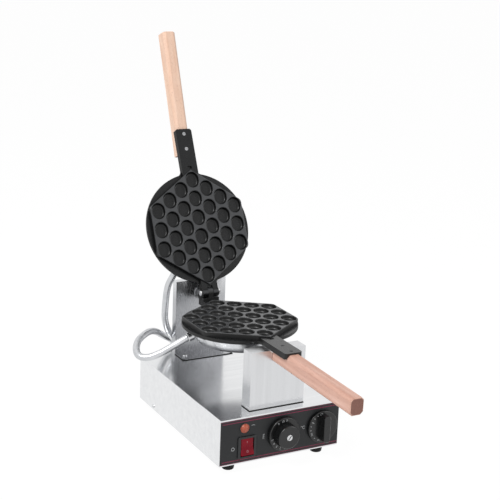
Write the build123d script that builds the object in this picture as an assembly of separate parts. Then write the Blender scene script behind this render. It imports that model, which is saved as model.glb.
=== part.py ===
from build123d import *
import math
import os

os.makedirs("parts", exist_ok=True)

# All sizes are in millimetres. X points right, -Y points to the front, where the lower
# handle points, and Z points up. The pieces are drawn about the middle of the base, and
# save() moves them back, so that the origin is under the middle of the whole machine.
MACHINE_MIDDLE = 21.7

# Base case, folded from stainless sheet
CASE_WIDTH = 220.0
CASE_DEPTH = 316.0
CASE_HEIGHT = 79.0
SHEET = 1.2
TOP_LIP = 2.5
BOTTOM_LIP = 2.0
BOTTOM_SHEET = 1.0
VENT_LENGTH = 60.0
VENT_WIDTH = 4.0
VENT_PITCH = 10.0
VENT_COUNT = 6
VENT_Y = 60.0

# Rubber feet and their screws
FOOT_HEIGHT = 15.0
FOOT_DIAMETER = 24.0
FOOT_TIP_DIAMETER = 19.0
FOOT_TIP_ROUND = 1.5
FOOT_INSET_X = 27.0
FOOT_INSET_Y = 22.0
FOOT_RECESS = 8.0
FOOT_SCREW = 4.0
FOOT_SCREW_HEAD = 8.0
FOOT_SCREW_HEAD_HEIGHT = 2.6
FOOT_SCREW_GRIP = 6.0

# Screws low on the sides, which hold the case to the bottom plate
SIDE_SCREW = 3.0
SIDE_SCREW_HEAD = 6.0
SIDE_SCREW_HEAD_HEIGHT = 1.6
SIDE_SCREW_GRIP = 6.0
SIDE_SCREW_Y = 98.0
SIDE_SCREW_RISE = 6.5
SIDE_TAB = 14.0

# Front panel and its printed overlay
PANEL_SHEET = 1.5
OVERLAY = 0.3

# Controls on the panel, measured from the middle of the panel
LAMP_INSET = 43.0
LAMP_RISE = 21.0
LAMP_DIAMETER = 15.5
LAMP_BODY_DIAMETER = 12.0
LAMP_BODY_LENGTH = 24.0
LAMP_DOME = 4.5
SWITCH_INSET = 48.0
SWITCH_RISE = -12.0
BEZEL_WIDTH = 33.0
BEZEL_HEIGHT = 37.0
BEZEL_THICKNESS = 2.6
SWITCH_BODY_WIDTH = 27.0
SWITCH_BODY_HEIGHT = 33.8
SWITCH_BODY_DEPTH = 24.0
SWITCH_WALL = 1.5
ROCKER_WIDTH = 23.0
ROCKER_HALF_HEIGHT = 14.0
ROCKER_TIP = 9.5
ROCKER_WAIST = 7.5
ROCKER_PIVOT_DEPTH = 6.0
ROCKER_TILT = 8.0
ROCKER_PIN = 3.0
TIMER_INSET = 105.5
DIAL_INSET = 32.5
SKIRT_DIAMETER = 57.0
SKIRT_THICKNESS = 6.0
KNOB_GAP = 0.7
TIMER_GRIP_DIAMETER = 39.0
TIMER_GRIP_LENGTH = 15.0
TIMER_CAP_DIAMETER = 10.0
TIMER_CAP_THICKNESS = 1.6
DIAL_DIAMETER = 55.0
DIAL_THICKNESS = 5.0
DIAL_GRIP_WIDTH = 12.0
DIAL_GRIP_LENGTH = 46.0
DIAL_GRIP_DEPTH = 14.0
CONTROL_SHAFT = 6.0
TIMER_BODY_DIAMETER = 48.0
TIMER_BODY_DEPTH = 34.0
THERMOSTAT_BODY_WIDTH = 36.0
THERMOSTAT_BODY_HEIGHT = 46.0
THERMOSTAT_BODY_DEPTH = 28.0
CONTROL_SCREW = 3.0
CONTROL_SCREW_SPREAD = 28.0

# Cast irons: both plates share one outline, seen from above, with the handle to -Y
PLATE_RISE = 111.5
PLATE_Y = -7.0
BODY_RADIUS = 99.0
BODY_BOTTOM = 14.5
BODY_STEP = 8.0
HEX_OVERHANG = 6.0
HEX_SIDE = 90.0
HEX_SHOULDER = 43.0
HEX_ROUND = 10.0
HEX_CHAMFER = 1.0
ROUND_CHAMFER = 1.5
PLATE_GAP = 1.0
CAVITY_RADIUS = 12.6
CAVITY_STRETCH = 1.8
CAVITY_DEPTH = 7.0
CAVITY_DRAFT = 12.0
CAVITY_ROUND = 3.5
CAVITY_CHAMFER = 0.7
CAVITY_COLUMN_PITCH = 25.0
CAVITY_ROW_PITCH = 34.5
CAVITY_COLUMNS = 3
CAVITY_LONGEST = 6

# Tongue that carries the handle
TONGUE_WIDTH = 31.0
TONGUE_LENGTH = 82.0
TONGUE_TOP = 3.0
TONGUE_BOTTOM = 13.0
TONGUE_CORNER = 3.0
TONGUE_BEVEL = 3.0
NECK_FILLET = 9.0
NOTCH_STAND = 4.7
NOTCH_WIDTH = 8.0
NOTCH_LENGTH = 5.0
NOTCH_DEPTH = 3.0
TONGUE_SCREW_INSETS = (36.8, 9.1)
TONGUE_SCREW = 3.8
TONGUE_SCREW_HEAD = 6.4
TONGUE_SCREW_HEAD_DEPTH = 2.4
TONGUE_SCREW_BITE = 16.0

# Beech handles
HANDLE_SEAT_LENGTH = 46.0
HANDLE_LENGTH = 227.0
HANDLE_WIDTH = 24.0
HANDLE_HEIGHT = 28.0
HANDLE_CHAMFER = 4.7
HANDLE_END_CHAMFER = 1.5
HANDLE_SEAT = 6.0
LOWER_HANDLE_TILT = 1.3
UPPER_HANDLE_TILT = -4.4

# Hinge between the irons: a knuckle on the lower iron in a fork on the lid
HINGE_STAND = 12.5
HINGE_RISE = 10.0
HINGE_RADIUS = 8.5
KNUCKLE_RADIUS = 8.0
KNUCKLE_WIDTH = 9.5
EAR_GAP = 0.5
HINGE_BLOCK_TOP = 2.0
LID_NECK_GAP = 3.0
PIN_DIAMETER = 7.0
PIN_CLEARANCE = 0.08
PIN_PLAY = 0.3
PIN_HEAD_DIAMETER = 9.4
PIN_HEAD_THICKNESS = 2.4
PIN_SLOT_WIDTH = 1.4
PIN_SLOT_DEPTH = 1.0
PIN_NUT_ACROSS = 10.0
PIN_NUT_THICKNESS = 4.0
OPEN_ANGLE = 115.3

# Turning shaft behind the lower iron, along Y
SHAFT_DIAMETER = 16.0
SHAFT_SEAT = 10.0
BOSS_DIAMETER = 25.0
BOSS_LENGTH = 11.0
BUSH_WALL = 3.0
BUSH_FLANGE_DIAMETER = 26.0
BUSH_FLANGE_THICKNESS = 2.0
SHAFT_CLEARANCE = 0.05
SHAFT_TAIL = 13.0
SHAFT_NUT_ACROSS = 24.0
SHAFT_NUT_THICKNESS = 8.0
SHAFT_WASHER_DIAMETER = 30.0
SHAFT_WASHER_THICKNESS = 2.0
HOUSING_WIDTH = 44.0
HOUSING_HEIGHT = 44.0
HOUSING_SCREW = 5.0
HOUSING_SCREW_SPREAD = 32.0
HOUSING_NUT_ACROSS = 8.0
HOUSING_NUT_THICKNESS = 4.0

# Rear post, folded from stainless sheet
POST_SHEET = 2.0
POST_WIDTH = 98.0
POST_STAND = 12.0
POST_DEPTH = 14.0
POST_ABOVE_PLATE = 25.0
POST_FOOT_REACH = 35.0
POST_FOOT_CORNER = 8.0
POST_SCREW_X = 38.0
POST_SCREW_FROM_BEND = 18.0
POST_SCREW = 4.0
POST_SCREW_HEAD = 8.5
POST_SCREW_HEAD_HEIGHT = 2.4
POST_SCREW_GRIP = 5.0

# Front rest, folded from stainless sheet, which the tongue lies on
REST_WIDTH = 100.0
REST_INSET = 17.0
REST_DEPTH = 26.0
REST_FLANGE = 14.0
REST_CLEARANCE = 0.35
REST_SCREW_INSETS = (7.0, 19.0)

# Heater covers, spun from steel, and what they hold
DISH_RADIUS = 86.0
DISH_RIM = 89.0
DISH_FLOOR = 72.5
DISH_DEPTH = 24.5
DISH_SHEET = 1.0
DISH_ROUND = 8.0
DISH_SCREW = 5.0
DISH_SCREW_HEAD = 9.5
DISH_SCREW_HEAD_HEIGHT = 2.2
DISH_SCREW_BITE = 10.0
DISH_SCREW_CIRCLE = 61.5
DISH_BOSS_DIAMETER = 12.0
HEATER_RING = 44.0
HEATER_DIAMETER = 8.0
HEATER_OPENING = 40.0
HEATER_GAP = 0.3
TERMINAL_DIAMETER = 4.0
TERMINAL_LENGTH = 9.5
WOOL_RADIUS = 53.0
WOOL_THICKNESS = 8.0
BULB_DIAMETER = 5.0
BULB_LENGTH = 40.0

# Flexible metal conduits with their end fittings
CONDUIT_DIAMETER = 12.0
FERRULE_DIAMETER = 15.5
FERRULE_LENGTH = 13.0
FERRULE_NECK = 10.0
FERRULE_BORE = 7.5
FERRULE_STAND = 3.3
FERRULE_NUT = 12.4
FERRULE_NUT_THICKNESS = 3.0
FERRULE_TILT = 20.0
FERRULE_REACH = 80.0
FERRULE_DEPTH = 9.8
FERRULE_INSIDE = 2.8
LOWER_FERRULE_ANGLE = 172.0
UPPER_FERRULE_ANGLE = 125.0
ELBOW_DIAMETER = 16.0
ELBOW_BORE = 9.0
ELBOW_DROP = 14.0
ELBOW_COLLAR = 17.0
ELBOW_COLLAR_LENGTH = 5.0
LOWER_ELBOW = (-31.0, 24.0, 2.5)
UPPER_ELBOW = (-12.0, 14.0, 16.0)
MAINS_GLAND_X = 60.0
MAINS_GLAND_RISE = 24.0
MAINS_GLAND_DIAMETER = 18.0
MAINS_GLAND_LENGTH = 18.0
MAINS_GLAND_BORE = 7.5

# Inside the base
BLOCK_LENGTH = 60.0
BLOCK_WIDTH = 22.0
BLOCK_HEIGHT = 18.0
BLOCK_X = 30.0
BLOCK_Y = 80.0
WIRE_DIAMETER = 3.0

# Heights and places that follow from the sizes above
HEX_TIP = BODY_RADIUS + HEX_OVERHANG
HINGE_REACH = HEX_TIP + HINGE_STAND
NOTCH_REACH = HEX_TIP + NOTCH_STAND
TONGUE_END = BODY_RADIUS + TONGUE_LENGTH
TONGUE_SCREW_PLACES = [TONGUE_END - inset for inset in TONGUE_SCREW_INSETS]
EAR_BLOCK_FRONT = HINGE_REACH - HINGE_RADIUS
EAR_BLOCK_REAR = HINGE_REACH + HINGE_RADIUS + 2 * EAR_GAP
LID_NECK_END = EAR_BLOCK_FRONT - LID_NECK_GAP
BOSS_REAR = EAR_BLOCK_REAR + BOSS_LENGTH
POST_FRONT = PLATE_Y + BOSS_REAR + POST_STAND
LAMP_X = LAMP_INSET - CASE_WIDTH / 2
SWITCH_X = SWITCH_INSET - CASE_WIDTH / 2
TIMER_X = CASE_WIDTH / 2 - TIMER_INSET
DIAL_X = CASE_WIDTH / 2 - DIAL_INSET
CASE_BOTTOM = FOOT_HEIGHT
CASE_TOP = CASE_BOTTOM + CASE_HEIGHT
CASE_FRONT = -CASE_DEPTH / 2
CASE_REAR = CASE_DEPTH / 2
PLATE_Z = CASE_TOP + PLATE_RISE
PANEL_BACK = CASE_FRONT + PANEL_SHEET
PANEL_LOW = CASE_BOTTOM + BOTTOM_LIP
PANEL_HIGH = CASE_TOP - TOP_LIP
PANEL_MID = (PANEL_LOW + PANEL_HIGH) / 2
FACE_Y = CASE_FRONT - OVERLAY
LAMP_Z = PANEL_MID + LAMP_RISE
SWITCH_Z = PANEL_MID + SWITCH_RISE
KNOB_BACK = FACE_Y - KNOB_GAP
SHAFT_Z = PLATE_Z + PLATE_GAP / 2
HINGE_Y = PLATE_Y + HINGE_REACH
HINGE_Z = PLATE_Z + HINGE_RISE
POST_TOP = PLATE_Z + POST_ABOVE_PLATE
POST_REAR = POST_FRONT + POST_DEPTH
REST_TOP = PLATE_Z - TONGUE_BOTTOM
REST_FRONT = CASE_FRONT + REST_INSET
REST_REAR = REST_FRONT + REST_DEPTH
TONGUE_SWEEP = math.hypot(TONGUE_WIDTH / 2, TONGUE_BOTTOM + PLATE_GAP / 2)
DISH_BOTTOM = BODY_BOTTOM + DISH_DEPTH


def block(x0, x1, y0, y1, z0, z1):
    """A box between two corners."""
    middle = ((x0 + x1) / 2, (y0 + y1) / 2, (z0 + z1) / 2)
    return Pos(*middle) * Box(x1 - x0, y1 - y0, z1 - z0)


def rod_x(diameter, x0, x1, y=0.0, z=0.0):
    """A round bar along X."""
    return Pos((x0 + x1) / 2, y, z) * Rot(0, 90, 0) * Cylinder(diameter / 2, x1 - x0)


def rod_y(diameter, y0, y1, x=0.0, z=0.0):
    """A round bar along Y."""
    return Pos(x, (y0 + y1) / 2, z) * Rot(90, 0, 0) * Cylinder(diameter / 2, y1 - y0)


def rod_z(diameter, z0, z1, x=0.0, y=0.0):
    """A round bar along Z."""
    return Pos(x, y, (z0 + z1) / 2) * Cylinder(diameter / 2, z1 - z0)


def hexagon_bar(across, thickness):
    """A nut blank about Z, centred on the origin."""
    return extrude(RegularPolygon(across / 2, 6, major_radius=False), thickness / 2, both=True)


def save(name, *solids):
    """Write one node, as one solid or as a group of separate ones."""
    kept = [Pos(0, MACHINE_MIDDLE, 0) * solid for shape in solids for solid in shape.solids()]
    shape = kept[0] if len(kept) == 1 else Compound(kept)
    export_step(shape, f"parts/{name}.step")


# Fittings

def pan_head(shank, head, head_height, grip):
    """A screw along -Z whose head stands on the plane z=0."""
    top = Cylinder(head / 2, head_height, align=(Align.CENTER, Align.CENTER, Align.MIN))
    top = fillet(top.edges().group_by(Axis.Z)[-1], head_height * 0.4)
    slot = Pos(0, 0, head_height) * Box(head * 0.7, head * 0.12, head_height * 0.6)
    return top - slot + rod_z(shank, -grip, 0)


def countersunk(shank, head, depth, length):
    """A screw along -Z whose flat head lies in the plane z=0."""
    cone = Pos(0, 0, -depth / 2) * Cone(shank / 2, head / 2, depth)
    slot = Box(head * 0.75, head * 0.13, depth * 0.5)
    return cone - slot + rod_z(shank, -length, -depth)


# Base

def foot_places():
    """The four foot centres on the table."""
    x = CASE_WIDTH / 2 - FOOT_INSET_X
    y = CASE_DEPTH / 2 - FOOT_INSET_Y
    return [(side * x, end * y) for side in (-1, 1) for end in (-1, 1)]


def make_feet():
    """Four rubber feet with a recess for the screw."""
    feet = []
    for x, y in foot_places():
        foot = Pos(x, y, FOOT_HEIGHT / 2) * Cone(FOOT_TIP_DIAMETER / 2, FOOT_DIAMETER / 2, FOOT_HEIGHT)
        foot = fillet(foot.edges().group_by(Axis.Z)[0], FOOT_TIP_ROUND)
        foot -= rod_z(FOOT_SCREW_HEAD + 1, 0, FOOT_RECESS, x, y)
        foot -= rod_z(FOOT_SCREW, 0, FOOT_HEIGHT, x, y)
        feet.append(foot)
    return feet


def make_foot_screws():
    """Screws up through the feet and the bottom plate, heads inside the recesses."""
    screw = Rot(180, 0, 0) * pan_head(
        FOOT_SCREW, FOOT_SCREW_HEAD, FOOT_SCREW_HEAD_HEIGHT, FOOT_HEIGHT - FOOT_RECESS + FOOT_SCREW_GRIP)
    return [Pos(x, y, FOOT_RECESS) * screw for x, y in foot_places()]


def vent_slots(along_x, centre):
    """A row of round-ended slots, cut through anything at the centre."""
    slot = extrude(SlotOverall(VENT_LENGTH, VENT_WIDTH), 10, both=True)
    slot = Rot(0, 0, 90) * slot if along_x else Rot(90, 0, 0) * slot
    start = -(VENT_COUNT - 1) / 2 * VENT_PITCH
    step = (VENT_PITCH, 0, 0) if along_x else (0, 0, VENT_PITCH)
    places = [[centre[axis] + step[axis] * (start / VENT_PITCH + i) for axis in range(3)]
              for i in range(VENT_COUNT)]
    return [Pos(*place) * slot for place in places]


def make_case():
    """Folded top, sides and rear, open below and in front, with a lip over the panel."""
    half = CASE_WIDTH / 2
    case = block(-half, half, PANEL_BACK, CASE_REAR, CASE_BOTTOM, CASE_TOP)
    case -= block(-half + SHEET, half - SHEET, PANEL_BACK - 1, CASE_REAR - SHEET,
                  CASE_BOTTOM - 1, CASE_TOP - SHEET)
    case += block(-half, half, CASE_FRONT, PANEL_BACK + SHEET, PANEL_HIGH, CASE_TOP)
    case = chamfer(case.edges().filter_by(Axis.Y).group_by(Axis.Z)[-1], SHEET * 0.5)
    holes = [Pos(x, y, CASE_TOP) * Cylinder(screw / 2, 4 * SHEET)
             for screw, places in ((POST_SCREW, post_screw_places()), (POST_SCREW, rest_screw_places()))
             for x, y in places]
    holes += [rod_y(ELBOW_BORE + 3, CASE_REAR - 2 * SHEET, CASE_REAR + SHEET, elbow[0], elbow_z(elbow))
              for elbow in (LOWER_ELBOW, UPPER_ELBOW)]
    holes += [rod_y(MAINS_GLAND_DIAMETER - 4, CASE_REAR - 2 * SHEET, CASE_REAR + SHEET,
                    MAINS_GLAND_X, CASE_BOTTOM + MAINS_GLAND_RISE)]
    return case - holes - side_hole()


def side_screw(side):
    """Pan-head screw through one side of the case, pointing inwards."""
    screw = pan_head(SIDE_SCREW, SIDE_SCREW_HEAD, SIDE_SCREW_HEAD_HEIGHT, SIDE_SCREW_GRIP)
    return Pos(side * CASE_WIDTH / 2, SIDE_SCREW_Y, CASE_BOTTOM + SIDE_SCREW_RISE) * Rot(0, side * 90, 0) * screw


def side_hole():
    """Cutter along X for both side screws."""
    return rod_x(SIDE_SCREW, -CASE_WIDTH, CASE_WIDTH, SIDE_SCREW_Y, CASE_BOTTOM + SIDE_SCREW_RISE)


def make_bottom_plate():
    """Vented bottom plate with a short lip turned up under the panel."""
    half = CASE_WIDTH / 2
    plate = block(-half + SHEET, half - SHEET, PANEL_BACK, CASE_REAR - SHEET,
                  CASE_BOTTOM, CASE_BOTTOM + BOTTOM_SHEET)
    plate += block(-half, half, CASE_FRONT, PANEL_BACK, CASE_BOTTOM, PANEL_LOW)
    plate += [block(side * (half - SHEET - BOTTOM_SHEET / 2) - BOTTOM_SHEET / 2,
                    side * (half - SHEET - BOTTOM_SHEET / 2) + BOTTOM_SHEET / 2,
                    SIDE_SCREW_Y - SIDE_TAB / 2, SIDE_SCREW_Y + SIDE_TAB / 2,
                    CASE_BOTTOM, CASE_BOTTOM + 2 * SIDE_SCREW_RISE) for side in (-1, 1)]
    plate -= side_hole()
    plate -= [rod_z(FOOT_SCREW, CASE_BOTTOM - 1, CASE_BOTTOM + 2 * BOTTOM_SHEET, x, y)
              for x, y in foot_places()]
    return plate - vent_slots(True, (0, VENT_Y, CASE_BOTTOM))


def control_holes():
    """Cutters through the panel and the overlay for everything mounted there."""
    y0, y1 = FACE_Y - 1, PANEL_BACK + 1
    window = (SWITCH_BODY_WIDTH / 2, SWITCH_BODY_HEIGHT / 2)
    return [
        rod_y(LAMP_BODY_DIAMETER, y0, y1, LAMP_X, LAMP_Z),
        block(SWITCH_X - window[0], SWITCH_X + window[0], y0, y1, SWITCH_Z - window[1], SWITCH_Z + window[1]),
        rod_y(CONTROL_SHAFT + 2, y0, y1, TIMER_X, PANEL_MID),
        rod_y(CONTROL_SHAFT + 2, y0, y1, DIAL_X, PANEL_MID),
    ]


def control_screw_places():
    """Centres of the screws that hold the timer and the thermostat to the panel."""
    return [(x + side * CONTROL_SCREW_SPREAD / 2, PANEL_MID)
            for x in (TIMER_X, DIAL_X) for side in (-1, 1)]


def make_panel():
    """Steel panel behind the overlay, with countersinks hidden under the knobs."""
    half = CASE_WIDTH / 2
    panel = block(-half, half, CASE_FRONT, PANEL_BACK, PANEL_LOW, PANEL_HIGH)
    screws = [rod_y(CONTROL_SCREW, CASE_FRONT - 1, PANEL_BACK + 1, x, z) for x, z in control_screw_places()]
    return panel - control_holes() - screws


def make_overlay():
    """Printed plastic film over the whole panel."""
    half = CASE_WIDTH / 2
    film = block(-half, half, FACE_Y, CASE_FRONT, PANEL_LOW, PANEL_HIGH)
    screws = [rod_y(CONTROL_SCREW * 2, FACE_Y - 1, CASE_FRONT + 1, x, z) for x, z in control_screw_places()]
    return film - control_holes() - screws


def make_control_screws():
    """Four machine screws through the panel into the timer and the thermostat."""
    screw = Rot(90, 0, 0) * pan_head(CONTROL_SCREW, CONTROL_SCREW * 1.9, 0.6, PANEL_SHEET + 4)
    return [Pos(x, CASE_FRONT, z) * screw for x, z in control_screw_places()]


def make_lamp():
    """Clear dome with a flat rim, held against the overlay."""
    rim = rod_y(LAMP_DIAMETER, FACE_Y - 1.2, FACE_Y, LAMP_X, LAMP_Z)
    radius = (LAMP_DIAMETER / 2 - 1) ** 2 / (2 * LAMP_DOME) + LAMP_DOME / 2
    ball = Pos(LAMP_X, FACE_Y - 1.2 - LAMP_DOME + radius, LAMP_Z) * Sphere(radius)
    front = block(LAMP_X - LAMP_DIAMETER, LAMP_X + LAMP_DIAMETER, FACE_Y - 9, FACE_Y - 1.2,
                  LAMP_Z - LAMP_DIAMETER, LAMP_Z + LAMP_DIAMETER)
    return rim + (ball & front)


def make_lamp_body():
    """Neon lamp body behind the panel with two blades."""
    back = FACE_Y + LAMP_BODY_LENGTH
    body = rod_y(LAMP_BODY_DIAMETER, FACE_Y, back, LAMP_X, LAMP_Z)
    body += [block(LAMP_X + x - 1.5, LAMP_X + x + 1.5, back, back + 7, LAMP_Z - 0.4, LAMP_Z + 0.4)
             for x in (-3, 3)]
    return body


def rocker_pivot_y():
    """Depth of the rocker's pivot behind the face of the overlay."""
    return FACE_Y + ROCKER_PIVOT_DEPTH


def make_switch_body():
    """Black switch housing with a bezel, a well for the rocker and four blades."""
    x, z = SWITCH_X, SWITCH_Z
    body = block(x - BEZEL_WIDTH / 2, x + BEZEL_WIDTH / 2, FACE_Y - BEZEL_THICKNESS, FACE_Y,
                 z - BEZEL_HEIGHT / 2, z + BEZEL_HEIGHT / 2)
    body = fillet(body.edges().filter_by(Axis.Y), 3)
    body = chamfer(body.faces().sort_by(Axis.Y)[0].edges(), 0.8)
    back = FACE_Y + SWITCH_BODY_DEPTH
    body += block(x - SWITCH_BODY_WIDTH / 2, x + SWITCH_BODY_WIDTH / 2, FACE_Y, back,
                  z - SWITCH_BODY_HEIGHT / 2, z + SWITCH_BODY_HEIGHT / 2)
    half = SWITCH_BODY_WIDTH / 2 - SWITCH_WALL
    tall = SWITCH_BODY_HEIGHT / 2 - SWITCH_WALL
    body -= block(x - half, x + half, FACE_Y - BEZEL_THICKNESS - 1, rocker_pivot_y() + 7, z - tall, z + tall)
    body -= rod_x(ROCKER_PIN + 2 * PIN_CLEARANCE, x - SWITCH_BODY_WIDTH / 2 + 0.4, x + SWITCH_BODY_WIDTH / 2 - 0.4,
                  rocker_pivot_y(), z)
    body += [block(x + dx - 3.1, x + dx + 3.1, back, back + 8, z + dz - 0.4, z + dz + 0.4)
             for dx in (-6, 6) for dz in (-8, 8)]
    return body


def make_rocker():
    """Red rocker about an X axis, drawn level and then tipped to its rest."""
    half = ROCKER_HALF_HEIGHT
    outline = make_face(Polyline(
        (-3.5, -5), (-3.5, 5), (1, half - 1), (ROCKER_TIP, half), (ROCKER_WAIST, 0),
        (ROCKER_TIP, -half), (1, -half + 1), close=True))
    bar = extrude(outline, ROCKER_WIDTH / 2, both=True)
    bar = chamfer(bar.faces().sort_by(Axis.X)[-2:].edges().filter_by(GeomType.LINE).filter_by(
        Axis.Z, reverse=True), 0.9)
    turned = Plane((0, 0, 0), x_dir=(0, -1, 0), z_dir=(-1, 0, 0)) * bar
    pins = rod_x(ROCKER_PIN, -ROCKER_WIDTH / 2 - 0.9, ROCKER_WIDTH / 2 + 0.9)
    return Pos(SWITCH_X, rocker_pivot_y(), SWITCH_Z) * Rot(-ROCKER_TILT, 0, 0) * (turned + pins)


def make_timer_knob():
    """Numbered skirt with a round fluted grip, bored for the shaft."""
    knob = rod_y(SKIRT_DIAMETER, KNOB_BACK - SKIRT_THICKNESS, KNOB_BACK, TIMER_X, PANEL_MID)
    knob = fillet(knob.faces().sort_by(Axis.Y)[0].edges(), 1.5)
    front = KNOB_BACK - SKIRT_THICKNESS - TIMER_GRIP_LENGTH
    grip = rod_y(TIMER_GRIP_DIAMETER, front, KNOB_BACK - SKIRT_THICKNESS, TIMER_X, PANEL_MID)
    grip = fillet(grip.faces().sort_by(Axis.Y)[0].edges(), 2)
    knob += grip
    knob -= rod_y(CONTROL_SHAFT, front + 4, KNOB_BACK + 1, TIMER_X, PANEL_MID)
    return knob - rod_y(TIMER_CAP_DIAMETER, front - 1, front + TIMER_CAP_THICKNESS / 2, TIMER_X, PANEL_MID)


def make_timer_cap():
    """Bright cap in the middle of the timer knob."""
    front = KNOB_BACK - SKIRT_THICKNESS - TIMER_GRIP_LENGTH
    cap = rod_y(TIMER_CAP_DIAMETER, front - TIMER_CAP_THICKNESS / 2, front + TIMER_CAP_THICKNESS / 2,
                TIMER_X, PANEL_MID)
    return chamfer(cap.faces().sort_by(Axis.Y)[0].edges(), 0.4)


def make_dial():
    """Temperature dial: a flat disc with a tall grip bar across it."""
    dial = rod_y(DIAL_DIAMETER, KNOB_BACK - DIAL_THICKNESS, KNOB_BACK, DIAL_X, PANEL_MID)
    dial = fillet(dial.faces().sort_by(Axis.Y)[0].edges(), 1.5)
    front = KNOB_BACK - DIAL_THICKNESS - DIAL_GRIP_DEPTH
    bar = block(DIAL_X - DIAL_GRIP_WIDTH / 2, DIAL_X + DIAL_GRIP_WIDTH / 2, front, KNOB_BACK - DIAL_THICKNESS,
                PANEL_MID - DIAL_GRIP_LENGTH / 2, PANEL_MID + DIAL_GRIP_LENGTH / 2)
    bar = fillet(bar.edges().filter_by(Axis.Y), DIAL_GRIP_WIDTH * 0.35)
    bar = chamfer(bar.faces().sort_by(Axis.Y)[0].edges(), 1)
    return dial + bar - rod_y(CONTROL_SHAFT, front + 5, KNOB_BACK + 1, DIAL_X, PANEL_MID)


def control_shaft(x, front):
    """Shaft from the control's body into its knob."""
    return rod_y(CONTROL_SHAFT, front, PANEL_BACK + KNOB_GAP, x, PANEL_MID)


def make_timer_body():
    """Clockwork timer behind the panel."""
    back = PANEL_BACK + TIMER_BODY_DEPTH
    body = rod_y(TIMER_BODY_DIAMETER, PANEL_BACK, back, TIMER_X, PANEL_MID)
    body -= rod_y(CONTROL_SHAFT + 1, PANEL_BACK - 1, PANEL_BACK + 2 * KNOB_GAP, TIMER_X, PANEL_MID)
    body -= [rod_y(CONTROL_SCREW, PANEL_BACK - 1, PANEL_BACK + 4.5, x, z) for x, z in control_screw_places()[:2]]
    body += [block(TIMER_X + x - 3, TIMER_X + x + 3, back, back + 8, PANEL_MID + 11.6, PANEL_MID + 12.4)
             for x in (-10, 10)]
    return body


def make_thermostat_body():
    """Capillary thermostat behind the panel."""
    back = PANEL_BACK + THERMOSTAT_BODY_DEPTH
    body = block(DIAL_X - THERMOSTAT_BODY_WIDTH / 2, DIAL_X + THERMOSTAT_BODY_WIDTH / 2, PANEL_BACK, back,
                 PANEL_MID - THERMOSTAT_BODY_HEIGHT / 2, PANEL_MID + THERMOSTAT_BODY_HEIGHT / 2)
    body -= rod_y(CONTROL_SHAFT + 1, PANEL_BACK - 1, PANEL_BACK + 2 * KNOB_GAP, DIAL_X, PANEL_MID)
    body -= [rod_y(CONTROL_SCREW, PANEL_BACK - 1, PANEL_BACK + 4.5, x, z) for x, z in control_screw_places()[2:]]
    body += rod_y(16, back, back + 6, DIAL_X, PANEL_MID)
    return body


def make_terminal_block():
    """Ceramic terminal block on the bottom plate."""
    z = CASE_BOTTOM + BOTTOM_SHEET
    body = block(BLOCK_X - BLOCK_LENGTH / 2, BLOCK_X + BLOCK_LENGTH / 2, BLOCK_Y - BLOCK_WIDTH / 2,
                 BLOCK_Y + BLOCK_WIDTH / 2, z, z + BLOCK_HEIGHT)
    pitch = BLOCK_LENGTH / 5
    for i in range(5):
        x = BLOCK_X + (i - 2) * pitch
        body -= rod_z(pitch * 0.45, z + BLOCK_HEIGHT - 6, z + BLOCK_HEIGHT + 1, x, BLOCK_Y - 5)
        body -= rod_z(pitch * 0.45, z + BLOCK_HEIGHT - 6, z + BLOCK_HEIGHT + 1, x, BLOCK_Y + 5)
    return body


# Front rest and rear post

def rest_screw_places():
    """Screw centres in the two inner foot flanges of the front rest."""
    x = REST_WIDTH / 2 - POST_SHEET - REST_FLANGE / 2
    return [(side * x, REST_FRONT + inset) for side in (-1, 1) for inset in REST_SCREW_INSETS]


def make_front_rest():
    """Folded front rest with a round cradle under the tongue."""
    half = REST_WIDTH / 2
    rest = block(-half, half, REST_FRONT, REST_REAR, CASE_TOP, REST_TOP)
    rest -= block(-half + POST_SHEET, half - POST_SHEET, REST_FRONT + POST_SHEET, REST_REAR + 1,
                  CASE_TOP - 1, REST_TOP - POST_SHEET)
    rest += [block(side * (half - POST_SHEET - REST_FLANGE / 2) - REST_FLANGE / 2,
                   side * (half - POST_SHEET - REST_FLANGE / 2) + REST_FLANGE / 2,
                   REST_FRONT + POST_SHEET, REST_REAR, CASE_TOP, CASE_TOP + POST_SHEET)
             for side in (-1, 1)]
    rest -= rod_y(2 * (TONGUE_SWEEP + REST_CLEARANCE), REST_FRONT - 1, REST_REAR + 1, 0, SHAFT_Z)
    return rest - [rod_z(POST_SCREW, CASE_TOP - 1, CASE_TOP + 2 * POST_SHEET, x, y)
                   for x, y in rest_screw_places()]


def post_screw_places():
    """Screw centres in the foot of the rear post."""
    return [(side * POST_SCREW_X, POST_FRONT - POST_SCREW_FROM_BEND) for side in (-1, 1)]


def housing_screw_places():
    """Stud centres round the shaft housing, as x and z."""
    half = HOUSING_SCREW_SPREAD / 2
    return [(x, SHAFT_Z + z) for x in (-half, half) for z in (-half, half)]


def make_rear_post():
    """Folded rear post with a forward foot and a hole for the bush."""
    half = POST_WIDTH / 2
    post = block(-half, half, POST_FRONT, POST_REAR, CASE_TOP, POST_TOP)
    post -= block(-half + POST_SHEET, half - POST_SHEET, POST_FRONT + POST_SHEET, POST_REAR + 1,
                  CASE_TOP - 1, POST_TOP - POST_SHEET)
    foot = block(-half, half, POST_FRONT - POST_FOOT_REACH, POST_FRONT + POST_SHEET,
                 CASE_TOP, CASE_TOP + POST_SHEET)
    foot = fillet(foot.edges().filter_by(Axis.Z).group_by(Axis.Y)[0], POST_FOOT_CORNER)
    post += foot
    post -= [rod_z(POST_SCREW, CASE_TOP - 1, CASE_TOP + 2 * POST_SHEET, x, y) for x, y in post_screw_places()]
    return post - rod_y(bush_diameter(), POST_FRONT - 1, POST_FRONT + 2 * POST_SHEET, 0, SHAFT_Z)


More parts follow.
